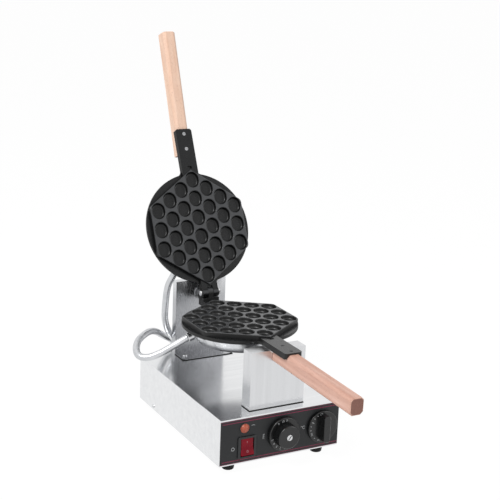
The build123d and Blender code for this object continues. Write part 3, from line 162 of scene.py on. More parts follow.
class Sketch:
    """A material while it is drawn: its tree, its main shader, and places on the piece."""

    def __init__(self, finish: Finish, tree: Tree) -> None:
        """Puts down the shader of a finish, and the piece's own coordinates."""
        self.finish, self.tree = finish, tree
        self.shader = add_node(tree, "ShaderNodeBsdfPrincipled", inputs={
            "Base Color": colour(finish.tint), "Metallic": finish.metallic,
            "Roughness": finish.roughness})
        add_node(tree, "ShaderNodeOutputMaterial", inputs={"Surface": self.shader.outputs["BSDF"]})
        self.source = add_node(tree, "ShaderNodeTexCoord")
        self.place = add_node(tree, "ShaderNodeMapping", {"vector_type": "TEXTURE"}, {
            "Vector": self.source.outputs["Object"], "Location": at(*finish.centre),
            "Rotation": (math.radians(finish.turn), 0.0, 0.0)}).outputs["Vector"]

    def fix(self, name: str, value: float) -> None:
        """Sets one input of the shader to a constant."""
        self.shader.inputs[name].default_value = value

    def wire(self, name: str, value: Socket) -> None:
        """Links a value to one input of the shader."""
        self.tree.links.new(value, self.shader.inputs[name])

    def noise(self, size: Sequence[float], detail: float = 3.0, seed: float = 0.0,
              place: Socket | None = None) -> Socket:
        """Noise whose blobs have a real size.

        Args:
            size: The blobs' size along x, y and z, in millimetres.
            detail: How many finer layers are added.
            seed: The fourth coordinate, which picks another pattern.
            place: Other coordinates than the piece's own, in metres.

        Returns:
            The noise value, from 0 to 1.
        """
        scaled = add_node(self.tree, "ShaderNodeMapping", inputs={
            "Vector": place or self.place, "Scale": [1 / (s * MM) for s in size]})
        noise = add_node(self.tree, "ShaderNodeTexNoise", {"noise_dimensions": "4D"}, {
            "Vector": scaled.outputs["Vector"], "W": seed, "Scale": 1.0, "Detail": detail,
            "Roughness": 0.55})
        return noise.outputs["Fac"]

    def spread(self, value: Socket, low: float, high: float) -> Socket:
        """Turns the middle range of a noise into low to high."""
        return remap(self.tree, value, (0.3, 0.7), (low, high))

    def mixed(self, share: Socket, first: object, second: object) -> Socket:
        """Mixes two colours by a share from 0 to 1."""
        node = add_node(self.tree, "ShaderNodeMix", {"data_type": "RGBA"}, {
            0: share, 6: first, 7: second})
        return node.outputs[2]

    def toned(self, value: Socket, most: float = 1.0) -> Socket:
        """The finish's tint, which a noise turns to its shade by up to a share."""
        return self.mixed(self.spread(value, 0.0, most), colour(self.finish.tint),
                          colour(self.finish.shade))

    def mask(self, value: Socket, start: float, end: float, grey: str) -> Socket:
        """Black where a noise is below the start, and a grey above the end."""
        ramp = add_node(self.tree, "ShaderNodeValToRGB", {"stops": (
            (start, colour("#000000")), (end, colour(grey)))}, {"Fac": value})
        return ramp.outputs["Color"]

    def along(self, axis: Axis, start: float, end: float) -> Socket:
        """A share from 0 to 1 between two places along an axis, in millimetres."""
        parts = add_node(self.tree, "ShaderNodeSeparateXYZ", inputs={"Vector": self.place})
        return remap(self.tree, parts.outputs[axis.value], (start * MM, end * MM), curve="SMOOTHSTEP")

    def facing(self, way: Vector, low: float, high: float) -> Socket:
        """A share from 0 to 1, by how far a face looks along a line, either way.

        Args:
            way: The line's direction in the piece's own frame.
            low: Cosine of the angle at which the share starts.
            high: Cosine of the angle at which it is full.

        Returns:
            The share.
        """
        turned = Matrix.Rotation(math.radians(self.finish.turn), 3, "X") @ way
        cosine = add_node(self.tree, "ShaderNodeVectorMath", {"operation": "DOT_PRODUCT"}, {
            0: self.source.outputs["Normal"], 1: turned})
        return remap(self.tree, calculate(self.tree, "ABSOLUTE", cosine.outputs["Value"]), (low, high))

    def roughen(self, value: Socket, less: float, more: float) -> Socket:
        """The finish's roughness, which a noise moves down and up."""
        return self.spread(value, max(self.finish.roughness - less, 0.02), self.finish.roughness + more)

    def height(self, value: Socket, depth: float) -> None:
        """Raises the surface by a value, to a real depth in millimetres."""
        bump = add_node(self.tree, "ShaderNodeBump", inputs={
            "Height": value, "Distance": depth * MM, "Strength": 1.0})
        self.wire("Normal", bump.outputs["Normal"])

    def grain(self, size: Sequence[float], change: float, depth: float) -> None:
        """Grain of a size and depth in millimetres, with a slow drift in the colour."""
        fine = self.noise(size)
        self.wire("Roughness", self.roughen(fine, change, change))
        self.wire("Base Color", self.toned(self.noise([40 * s for s in size], 2.0, 3.0)))
        self.height(fine, depth)


@dataclass(frozen=True)
class Finish:
    """A real surface: what it is made of and how it was made.

    Attributes:
        name: Its name in a maker's words.
        tint: Its main colour.
        shade: The colour that its pattern turns to.
        metallic: 1 for bare metal.
        roughness: Its middle roughness.
        centre: A point on the piece, in millimetres about the middle of the base.
        turn: How the piece is turned about the x axis, in degrees.
    """

    name: str
    tint: str
    shade: str
    metallic: float = 0.0
    roughness: float = 0.5
    centre: tuple[float, float, float] = (0.0, 0.0, 0.0)
    turn: float = 0.0

    def build(self) -> bpy.types.Material:
        """Makes the material and lets the finish draw its pattern."""
        material = bpy.data.materials.new(self.name)
        material.diffuse_color = colour(self.tint)
        self.pattern(Sketch(self, fresh_tree(material)))
        return material

    def pattern(self, sketch: Sketch) -> None:
        """Draws what the eye sees besides the plain colour."""
        sketch.grain((1.0, 1.0, 1.0), 0.06, 0.02)


@dataclass(frozen=True)
class BrushedSheet(Finish):
    """Stainless sheet with a fine belt-brushed grain along one direction.

    The brush leaves long shallow lines, which blur what the metal mirrors across them.
    The real lines are about 0.1 mm apart; here they are 0.4 mm wide, so that they show.

    Attributes:
        along: The direction of the lines.
        line: The lines' width in millimetres.
        low_shade: The colour painted on the lower part as shade, or nothing where all is alike.
        fade: Heights between which the lower part goes over into the upper.
    """

    along: Axis = Axis.X
    line: float = 0.4
    low_shade: str = ""
    fade: tuple[float, float] = (0.0, 0.0)

    def pattern(self, sketch: Sketch) -> None:
        """Long lines, wider streaks, and soft clouds from handling."""
        size, wide = [self.line] * 3, [9.0] * 3
        size[self.along.value], wide[self.along.value] = 160.0, 300.0
        lines = sketch.noise(size, 4.0)
        streaks = sketch.noise(wide, 2.0, 5.0)
        clouds = sketch.noise((70.0, 70.0, 45.0), 2.0, 9.0)
        sketch.wire("Roughness", calculate(sketch.tree, "ADD", sketch.roughen(lines, 0.03, 0.03),
                                           sketch.spread(clouds, -0.02, 0.03)))
        tint = sketch.mixed(sketch.spread(lines, 0.0, 0.25), sketch.toned(streaks, 0.6),
                            colour(self.shade))
        # Painted shade: the lower part turns darker towards the bottom.
        if self.low_shade:
            tint = sketch.mixed(sketch.along(Axis.Z, *self.fade), colour(self.low_shade), tint)
        sketch.wire("Base Color", tint)
        sketch.height(lines, 0.0008)


@dataclass(frozen=True)
class SpunSheet(Finish):
    """Polished sheet that was spun on a lathe, with faint rings round its middle.

    The floor and the bend below the wall are painted a darker grey, as shade.

    Attributes:
        bright: Height in the piece's own frame down to which the wall is bright.
        dark: Height at which the painted shade is full.
        shade_grey: The painted shade colour of the floor and the bend.
    """

    bright: float = -26.0
    dark: float = -35.0
    shade_grey: str = "#7d7e82"

    def pattern(self, sketch: Sketch) -> None:
        """Rings 1.2 mm apart, wider than the real ones so that they show."""
        tree = sketch.tree
        flat = add_node(tree, "ShaderNodeVectorMath", {"operation": "MULTIPLY"}, {
            0: sketch.place, 1: (1.0, 1.0, 0.0)})
        radius = add_node(tree, "ShaderNodeVectorMath", {"operation": "LENGTH"}, {
            0: flat.outputs["Vector"]})
        parts = add_node(tree, "ShaderNodeSeparateXYZ", inputs={"Vector": sketch.place})
        ring = add_node(tree, "ShaderNodeCombineXYZ", inputs={
            "X": radius.outputs["Value"], "Y": parts.outputs["Z"]})
        rings = sketch.noise((1.2, 1.2, 1.2), 3.0, place=ring.outputs["Vector"])
        unshaded = sketch.toned(sketch.noise((30.0, 30.0, 30.0), 2.0, 4.0))
        # Painted shade: the floor and the bend go over into a darker grey.
        shade_share = sketch.along(Axis.Z, self.bright, self.dark)
        sketch.wire("Base Color", sketch.mixed(shade_share, unshaded, colour(self.shade_grey)))
        sketch.wire("Roughness", sketch.roughen(rings, 0.05, 0.06))
        sketch.height(rings, 0.01)


@dataclass(frozen=True)
class CoatedCasting(Finish):
    """Sand-cast iron under a baked black coat, which shows the sand's grain through.

    The webs are painted a lighter grey as sheen, the cups stay dark as painted shade, and the steep
    walls are painted near black as shadow.
    The grain is 1.4 mm across here, where the real one is about 0.5 mm, so that it shows.

    Attributes:
        face: Height of the cooking face, in millimetres in the piece's own frame.
        down: Which way the cups go from the face, 1 or -1.
        web: The colour painted on the webs as sheen.
        worn: The colour of the worn specks.
        wall_shadow: The colour painted on the steep walls as shadow.
        sheen_reach: How far below the face the painted sheen is full.
        black: How far below it the painted sheen has gone over into the dark tint, as painted shade.
        gloss: How strongly the coat mirrors, 0.5 for common paint.
    """

    face: float = 0.0
    down: float = -1.0
    web: str = "#3a3b3d"
    worn: str = "#47484a"
    wall_shadow: str = "#020202"
    sheen_reach: float = 0.2
    black: float = 1.6
    gloss: float = 0.3

    def pattern(self, sketch: Sketch) -> None:
        """A pebbled skin, with painted sheen on the webs, small worn specks and painted shadow on the
        steep walls.
        """
        sketch.fix("Specular IOR Level", self.gloss)
        pebble = sketch.noise((1.4, 1.4, 1.4), 2.5)
        patch = sketch.noise((22.0, 22.0, 22.0), 3.0, 2.0)
        speck = sketch.noise((2.0, 2.0, 2.0), 4.0, 7.0)
        # Painted sheen on the webs near the face, and painted shade in the cups below it.
        sheen_share = sketch.along(Axis.Z, *(self.face + self.down * v for v in (self.black, self.sheen_reach)))
        top = sketch.mixed(sheen_share, sketch.toned(patch, 0.7), colour(self.web))
        skin = sketch.mixed(sketch.mask(speck, 0.54, 0.68, "#7c7c7c"), top, colour(self.worn))
        # Painted shadow: faces that are far from flat turn near black.
        flat = sketch.facing(Vector((0, 0, 1)), 0.3, 0.85)
        sketch.wire("Base Color", sketch.mixed(flat, colour(self.wall_shadow), skin))
        sketch.wire("Roughness", remap(sketch.tree, flat, (0.0, 1.0), (
            0.5, sketch.roughen(pebble, 0.06, 0.08))))
        sketch.height(pebble, 0.03)


@dataclass(frozen=True)
class Beech(Finish):
    """Bare beech, sawn along its grain and sanded: pinkish tan, with short dark flecks.

    The local y axis runs along the handle. The flecks, which are the wood's rays, are
    0.9 mm wide here, twice their real width, so that they show.

    Attributes:
        heart: The warmer colour of its clouds.
        ray: The colour of the flecks.
        end: The colour of the end grain.
        end_shade: The colour of the end grain's dark layers.
    """

    heart: str = "#d39c80"
    ray: str = "#8f5c46"
    end: str = "#9a6a5c"
    end_shade: str = "#7d5247"

    def pattern(self, sketch: Sketch) -> None:
        """Growth layers, pores along the grain, ray flecks and a darker sawn end."""
        bands = sketch.noise((5.0, 150.0, 9.0), 3.0)
        pores = sketch.noise((0.8, 26.0, 0.8), 3.0, 2.0)
        fleck = sketch.noise((0.9, 5.5, 0.9), 1.0, 8.0)
        cloud = sketch.noise((30.0, 60.0, 30.0), 2.0, 6.0)
        fine = sketch.mixed(sketch.spread(pores, 0.0, 0.45), sketch.toned(bands), colour(self.shade))
        warm = sketch.mixed(sketch.spread(cloud, 0.0, 0.3), fine, colour(self.heart))
        flecked = sketch.mixed(sketch.mask(fleck, 0.6, 0.7, "#9c9c9c"), warm, colour(self.ray))
        is_end = sketch.facing(Vector((0, -1, 0)), 0.8, 0.95)
        sawn = sketch.noise((1.1, 9.0, 1.1), 4.0, 11.0)
        end = sketch.mixed(sketch.spread(sawn, 0.0, 1.0), colour(self.end), colour(self.end_shade))
        sketch.wire("Base Color", sketch.mixed(is_end, flecked, end))
        sketch.wire("Roughness", sketch.roughen(pores, 0.06, 0.08))
        sketch.height(pores, 0.05)


@dataclass(frozen=True)
class Moulded(Finish):
    """Plastic or rubber from a spark-textured mould, with an even fine grain.

    Attributes:
        grit: The grain's size in millimetres.
        coat: How much clear gloss lies on top.
        passing: How much light passes through it.
        gloss: How strongly the surface itself mirrors, 0.5 for common plastic.
    """

    grit: float = 0.9
    coat: float = 0.0
    passing: float = 0.0
    gloss: float = 0.5

    def pattern(self, sketch: Sketch) -> None:
        """Even grain, with the gloss and the clearness set on the shader itself."""
        sketch.fix("IOR", 1.5)
        sketch.fix("Specular IOR Level", self.gloss)
        sketch.fix("Coat Weight", self.coat)
        sketch.fix("Coat Roughness", 0.08)
        sketch.fix("Transmission Weight", self.passing)
        sketch.grain([self.grit] * 3, 0.05, 0.012)


@dataclass(frozen=True)
class Turned(Finish):
    """Metal from the lathe or the plating bath: small bright parts with fine tool marks."""

    def pattern(self, sketch: Sketch) -> None:
        """Fine marks and a slight change of tone."""
        sketch.grain((0.5, 0.5, 0.5), 0.07, 0.006)


FINISHES = {
    "base_steel": BrushedSheet("brushed_stainless_sheet", "#e9eaeb", "#dcdddf", 1.0, 0.17),
    "upright_steel": BrushedSheet("brushed_stainless_upright", "#dadbdd", "#cdced0", 1.0, 0.22,
                                  along=Axis.Z),
    # The post is painted darker towards its foot, as shade.
    "post_steel": BrushedSheet("brushed_stainless_post_painted_low_shade", "#dcdddf", "#c9cacc", 1.0, 0.26,
                               along=Axis.Z, low_shade="#b3b4b7", fade=(190.0, 228.0)),
    "lower_cover": SpunSheet("polished_spun_steel_lower", "#f0f1f2", "#e0e1e3", 1.0, 0.16,
                             PLATE_MIDDLE),
    "upper_cover": SpunSheet("polished_spun_steel_upper", "#e2e3e4", "#cfd0d2", 1.0, 0.16, HINGE,
                             -OPEN_ANGLE, bright=17.0, dark=26.0),
    # Both castings carry painted sheen on the webs, painted shade in the cups and painted shadow on
    # steep walls.
    "lower_casting": CoatedCasting("black_coated_iron_lower", "#0b0c0d", "#121314", 0.0, 0.24,
                                   PLATE_MIDDLE, gloss=0.5),
    "upper_casting": CoatedCasting("black_coated_iron_upper", "#0d0e0f", "#141516", 0.0, 0.3, HINGE,
                                   -OPEN_ANGLE, face=PLATE_GAP - HINGE_RISE, down=1.0, web="#47484a"),
    "lower_beech": Beech("sanded_beech_lower", "#f1c9b9", "#cb9b8a", 0.0, 0.48, (0.0, -300.0, 200.0),
                         1.3),
    "hinge_steel": Turned("polished_hinge_pin", "#f6f6f7", "#ebebec", 1.0, 0.34),
    "screw_zinc": Turned("zinc_plated_screw", "#a6a7a9", "#97989a", 1.0, 0.38),
    # Painted light: the upper handle's beech is a paler copy of the lower one's.
    "upper_beech": Beech("sanded_beech_upper_painted_lighter", "#fbdeca", "#eec8ae", 0.0, 0.48, HINGE,
                         -OPEN_ANGLE - 4.4),
    "film": Moulded("printed_polyester_film", "#1d1f21", "#191b1d", 0.0, 0.4, grit=0.7, gloss=0.38),
    "maroon_ink": Moulded("maroon_screen_ink", "#5d1a35", "#531730", 0.0, 0.45, grit=0.7),
    "crimson_ink": Moulded("crimson_screen_ink", "#8c1f49", "#7f1c42", 0.0, 0.45, grit=0.7),
    "white_ink": Moulded("grey_white_screen_ink", "#c3c6c8", "#b2b5b7", 0.0, 0.5, grit=0.7),
    "rose_ink": Moulded("faded_rocker_ink", "#b98a90", "#a97a80", 0.0, 0.5, grit=0.7),
    "phenolic": Moulded("black_phenolic", "#0b0b0c", "#101112", 0.0, 0.28, grit=1.0, coat=0.1),
    "black_nylon": Moulded("black_nylon", "#17181a", "#1d1e20", 0.0, 0.42),
    "rubber": Moulded("black_rubber", "#0a0a0a", "#0f0f0f", 0.0, 0.62, grit=1.2, gloss=0.25),
    "red_polycarbonate": Moulded("red_polycarbonate", "#9c0220", "#740219", 0.0, 0.24, gloss=0.2),
    "orange_polycarbonate": Moulded("orange_polycarbonate", "#d8613a", "#c9552f", 0.0, 0.3, coat=0.5,
                                    passing=0.35),
    "plated": Turned("bright_nickel_plate", "#dadbdc", "#c6c7c9", 1.0, 0.2),
    "blackened": Turned("blackened_steel", "#26272a", "#1e1f21", 1.0, 0.4),
    "machined": Turned("machined_steel", "#b9babc", "#a4a5a8", 1.0, 0.34),
    "sheath": Turned("heat_darkened_nickel_sheath", "#5c5a53", "#484640", 1.0, 0.5),
    "wool": Moulded("ceramic_fibre_blanket", "#e6e3d8", "#d8d4c6", 0.0, 0.9, grit=2.5),
    "ceramic": Moulded("glazed_steatite", "#e8e4d8", "#ddd8ca", 0.0, 0.2, grit=2.0, coat=0.4),
    "sleeve": Turned("wound_bright_steel_sleeve", "#d9dadc", "#c4c6c9", 1.0, 0.28),
}

NODE_FINISHES = {
    "base_steel": ("base_case", "bottom_plate", "front_panel"),
    "upright_steel": ("front_rest",),
    "post_steel": ("rear_post",),
    "lower_cover": ("lower_heater_cover",),
    "upper_cover": ("upper_heater_cover",),
    "lower_casting": ("lower_iron",),
    "upper_casting": ("upper_iron",),
    "lower_beech": ("lower_handle",),
    "upper_beech": ("upper_handle",),
    "film": ("panel_overlay",),
    "phenolic": ("timer_knob", "temperature_dial"),
    "black_nylon": ("switch_housing", "thermostat_body", "lower_conduit_elbow", "upper_conduit_elbow",
                    "mains_gland"),
    "rubber": ("rubber_feet",),
    "red_polycarbonate": ("power_rocker",),
    "orange_polycarbonate": ("indicator_lens",),
    "plated": ("case_side_screws", "foot_screws", "control_screws", "front_rest_screws",
               "rear_post_screws", "shaft_housing_studs", "timer_knob_cap", "lower_cover_screws",
               "upper_cover_screws", "shaft_washer", "shaft_nut", "lower_conduit_ferrule",
               "upper_conduit_ferrule"),
    "hinge_steel": ("hinge_pin", "hinge_pin_nut"),
    "screw_zinc": ("upper_handle_screws",),
    "blackened": ("lower_handle_screws",),
    "machined": ("timer_body", "timer_shaft", "thermostat_shaft", "shaft_housing", "shaft_bush",
                 "turning_shaft", "conduit_lock_nuts", "thermostat_bulb"),
    "sheath": ("lower_heater", "upper_heater"),
    "wool": ("lower_heater_wool", "upper_heater_wool"),
    "ceramic": ("indicator_lamp", "terminal_block"),
    "sleeve": ("lower_conduit", "upper_conduit", "upper_conduit_tail"),
}


class FinishShelf:
    """Keeps each material once it is made."""

    def __init__(self) -> None:
        """Starts with an empty shelf."""
        self.made: dict[str, bpy.types.Material] = {}

    def paint(self, piece: Piece, name: str) -> None:
        """Gives a piece one finish all over, and makes its material at the first use."""
        if name not in self.made:
            self.made[name] = FINISHES[name].build()
        piece.data.materials.clear()
        piece.data.materials.append(self.made[name])

    def fit(self, piece: Piece, finish: str, slot: str, body: Body) -> None:
        """Gives a new piece its finish, and lets it ride on a body."""
        self.paint(piece, finish)
        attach(piece, body.value)


def select_only(piece: Piece) -> None:
    """Selects one object and makes it the active one."""
    bpy.ops.object.select_all(action="DESELECT")
    piece.select_set(True)
    bpy.context.view_layer.objects.active = piece


def new_object(name: str, data: bpy.types.ID) -> Piece:
    """Adds an object with its data to the scene."""
    piece = bpy.data.objects.new(name, data)
    bpy.context.scene.collection.objects.link(piece)
    return piece


def start_piece(name: str, operator: Callable, **settings: object) -> Piece:
    """Adds one primitive with nothing else selected, and names it.

    Args:
        name: The piece's name.
        operator: The bpy.ops call that adds it.
        **settings: The call's own settings.

    Returns:
        The new object.
    """
    bpy.ops.object.select_all(action="DESELECT")
    operator(**settings)
    piece = bpy.context.active_object
    piece.name = piece.data.name = name
    return piece


def settle(piece: Piece, place: Matrix | None = None) -> None:
    """Puts a piece's place, turn and scale into its mesh, after a move if one is given."""
    if place is not None:
        piece.matrix_world = place
    select_only(piece)
    bpy.ops.object.transform_apply(location=True, rotation=True, scale=True)


def round_edges(piece: Piece, name: str, radius: float, segments: int) -> None:
    """Rounds all edges of the active piece, by a radius in millimetres."""
    bevel = piece.modifiers.new(name, "BEVEL")
    bevel.width, bevel.segments = radius * MM, segments
    bpy.ops.object.modifier_apply(modifier=bevel.name)


def start_box(name: str, low: Vector, high: Vector) -> Piece:
    """A settled box between two corners, which are given in metres in the frame."""
    piece = start_piece(name, bpy.ops.mesh.primitive_cube_add, size=1.0, location=(low + high) / 2,
                        scale=high - low)
    settle(piece)
    return piece


@dataclass
class Route:
    """The line of one conduit, with the points that the solids' route has.

    Attributes:
        name: The CAD node.
        points: The route's points, in millimetres about the middle of the base.
        parent: The body at the conduit's start; not used.
        child: The body at its end; not used.
        bend: Start and end of the stretch that bends; not used.
        length: Its length in metres; not used.
    """

    name: str
    points: Sequence[tuple[float, float, float]]
    parent: Body
    child: Body
    bend: tuple[tuple[float, float, float], tuple[float, float, float]]
    length: float

    def centreline(self) -> list[Vector]:
        """Close points along the route's smooth NURBS curve."""
        data = bpy.data.curves.new(self.name + "_line", "CURVE")
        data.dimensions = "3D"
        data.resolution_u = 40
        line = data.splines.new("NURBS")
        line.points.add(len(self.points) - 1)
        for point, place in zip(line.points, self.points):
            point.co = (*at(*place), 1.0)
        line.order_u = 3
        line.use_endpoint_u = True
        curve = new_object(self.name + "_line", data)
        mesh = bpy.data.meshes.new_from_object(curve)
        line = [vertex.co.copy() for vertex in mesh.vertices]
        bpy.data.meshes.remove(mesh)
        bpy.data.objects.remove(curve)
        return line


@dataclass
class Conduits:
    """The flexible sleeves that carry the heaters' leads, wound from bright steel strip.

    Attributes:
        diameter: Outside diameter in millimetres.
        pitch: Distance from one winding to the next.
        depth: How deep the groove between windings is.
        sides: How many sides the round has.
        steps: How many rings one winding has.
    """

    diameter: float = 12.0
    pitch: float = 3.6
    depth: float = 0.35
    sides: int = 24
    steps: int = 4
    routes: list[Route] = field(default_factory=lambda: [
        Route("lower_conduit", (
            (-91.3, 5.8, 176.8), (-96.9, 6.6, 174.7), (-149.0, 16.0, 146.0), (-171.0, 33.0, 143.8),
            (-158.5, 69.0, 156.5), (-120.0, 107.0, 159.0), (-90.0, 138.5, 146.0),
            (-52.0, 184.5, 116.0), (-31.0, 182.0, 105.0), (-31.0, 182.0, 91.5)),
            Body.LOWER, Body.BASE, ((-120.0, 14.0, 150.0), (-120.0, 170.0, 150.0)), 0.3286),
        Route("upper_conduit", (
            (-52.9, 146.0, 245.0), (-56.1, 145.9, 239.9), (-63.4, 150.5, 223.0),
            (-66.5, 151.2, 189.3), (-65.45, 154.5, 169.6)),
            Body.UPPER, Body.LOWER, ((-54.0, 146.0, 240.0), (-65.0, 154.0, 172.0)), 0.0784),
        Route("upper_conduit_tail", (
            (-65.45, 154.5, 169.6), (-64.4, 157.8, 149.9), (-37.0, 169.0, 107.9),
            (-12.0, 172.0, 103.0), (-12.0, 172.0, 78.0)),
            Body.LOWER, Body.BASE, ((-65.0, 155.0, 168.0), (-14.0, 172.0, 95.0)), 0.1162)])

    def wound_tube(self, name: str, line: Sequence[Vector]) -> Piece:
        """A tube with one helical groove, round a line of close points."""
        steps = [(b - a).length for a, b in zip(line, line[1:])]
        total = sum(steps)
        count = round(total / (self.pitch * MM) * self.steps)
        rings, walked, index = [], 0.0, 0
        for number in range(count + 1):
            goal = total * number / count
            while index < len(steps) - 1 and walked + steps[index] < goal:
                walked += steps[index]
                index += 1
            share = min((goal - walked) / max(steps[index], 1e-9), 1.0)
            rings.append((line[index].lerp(line[index + 1], share), goal))
        vertices: list[Vector] = []
        side = Vector((0.0, 0.0, 1.0))
        for number, (point, goal) in enumerate(rings):
            before, after = rings[max(number - 1, 0)][0], rings[min(number + 1, count)][0]
            ahead = (after - before).normalized()
            side = (side - ahead * side.dot(ahead)).normalized()
            other = ahead.cross(side)
            for corner in range(self.sides):
                angle = 2 * math.pi * corner / self.sides
                wave = 0.5 + 0.5 * math.cos(2 * math.pi * goal / (self.pitch * MM) + angle)
                radius = (self.diameter / 2 - self.depth * wave ** 3) * MM
                vertices.append(point + radius * (math.cos(angle) * side + math.sin(angle) * other))
        faces: list[Sequence[int]] = []
        for ring in range(count):
            for corner in range(self.sides):
                a, b = ring * self.sides + corner, ring * self.sides + (corner + 1) % self.sides
                faces.append((a, b, b + self.sides, a + self.sides))
        faces.append(tuple(reversed(range(self.sides))))
        faces.append(tuple(range(count * self.sides, (count + 1) * self.sides)))
        mesh = bpy.data.meshes.new(name)
        mesh.from_pydata([tuple(v) for v in vertices], [], faces)
        mesh.polygons.foreach_set("use_smooth", [True] * (len(faces) - 2) + [False] * 2)
        return new_object(name, mesh)

    def build(self, shelf: FinishShelf) -> None:
        """Makes the three sleeves along their routes, in place of the CAD conduits."""
        for route in self.routes:
            line = route.centreline()
            tube = self.wound_tube(route.name + "_sleeve", line)
            shelf.paint(tube, "sleeve")
            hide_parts(route.name)
            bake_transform(tube)
            measured = sum((b - a).length for a, b in zip(line, line[1:]))
            LOG.info("%s measures %.1f mm along its middle", route.name, measured / MM)


@dataclass
class PanelPrint:
    """What is printed on the control panel's film: lines and small plain marks.

    Attributes:
        half_width: Half the panel's width in millimetres.
        low: Height of the film's lower edge.
        high: Height of its upper edge.
        inset: How far the short ends of the lines stay from the film's ends.
        ink: How far the ink stands off the film.
        corner: Radius of the ink's edges.
    """

    half_width: float = 110.0
    low: float = 17.0
    high: float = 91.5
    inset: float = 3.5
    ink: float = 0.06
    corner: float = 0.02

    def build(self, shelf: FinishShelf) -> None:
        """Prints two dark red lines along the top and two along the bottom."""
        edge, inner = self.half_width, self.half_width - self.inset
        rows = (("panel_line_top_edge", "maroon_ink", -edge, edge, self.high - 1.7, self.high - 0.1),
                ("panel_line_top", "crimson_ink", -inner, edge, self.high - 5.4, self.high - 4.2),
                ("panel_line_bottom", "crimson_ink", -inner, edge, self.low + 4.2, self.low + 5.4),
                ("panel_line_bottom_edge", "maroon_ink", -edge, edge, self.low + 0.1, self.low + 1.7))
        for name, finish, left, right, low, high in rows:
            line = start_box(name, at(left, FILM_FRONT - self.ink, low), at(right, FILM_FRONT, high))
            round_edges(line, "soft_ends", self.corner, 2)
            shelf.fit(line, finish, "overlay", Body.BASE)
        LOG.info("panel print is on")


def facing_front(x: float, y: float, z: float, spin: float = 0.0, tilt: float = 0.0) -> Matrix:
    """Where a flat mark lies on a face that looks to the front.

    Args:
        x: Across, in millimetres about the middle of the base.
        y: Depth of the face.
        z: Height.
        spin: Turn about the face's normal, in degrees.
        tilt: How far the face leans down, in degrees.

    Returns:
        The matrix that takes a mark from the xy plane onto the face.
    """
    return (Matrix.Translation(at(x, y, z)) @ Matrix.Rotation(math.radians(90 + tilt), 4, "X")
            @ Matrix.Rotation(math.radians(spin), 4, "Z"))


def join_pieces(name: str, pieces: Sequence[Piece]) -> Piece:
    """Joins settled pieces into one named mesh."""
    bpy.ops.object.select_all(action="DESELECT")
    for piece in pieces:
        piece.select_set(True)
    bpy.context.view_layer.objects.active = pieces[0]
    bpy.ops.object.join()
    pieces[0].name = pieces[0].data.name = name
    return pieces[0]


@dataclass
class Marks:
    """Small plain marks: numbers, ticks, and the signs for on and off.

    Attributes:
        shelf: Where the finishes are.
        lift: How thick the ink is, in millimetres.
    """

    shelf: FinishShelf
    lift: float = 0.08

    def word(self, text: str, height: float, place: Matrix) -> Piece:
        """A number or a unit, with capitals of a given height in millimetres."""
        piece = start_piece("word", bpy.ops.object.text_add)
        piece.data.body = text
        piece.data.size = height * 1.42 * MM
        piece.data.align_x, piece.data.align_y = "CENTER", "CENTER"
        piece.data.extrude, piece.data.resolution_u = self.lift * MM, 3
        bpy.ops.object.convert(target="MESH")
        settle(piece, place)
        return piece

    def bar(self, width: float, height: float, place: Matrix) -> Piece:
        """A flat bar, its sizes in millimetres."""
        piece = start_piece("bar", bpy.ops.mesh.primitive_cube_add, size=1.0)
        settle(piece, place @ Matrix.Diagonal((width * MM, height * MM, 2 * self.lift * MM, 1.0)))
        return piece

    def ring(self, radius: float, line: float, place: Matrix) -> Piece:
        """A flat ring, with the radius of its middle and its line's width in millimetres."""
        piece = start_piece("ring", bpy.ops.mesh.primitive_torus_add, major_radius=radius * MM,
                            minor_radius=line / 2 * MM, major_segments=36, minor_segments=8)
        settle(piece, place @ Matrix.Diagonal((1.0, 1.0, 2 * self.lift / line, 1.0)))
        return piece

    def put(self, name: str, pieces: Sequence[Piece], finish: str, slot: str, body: Body) -> None:
        """Joins the marks of one face into a named piece, which rides on a body."""
        joined = join_pieces(name, pieces)
        joined.data.polygons.foreach_set("use_smooth", [False] * len(joined.data.polygons))
        self.shelf.fit(joined, finish, slot, body)


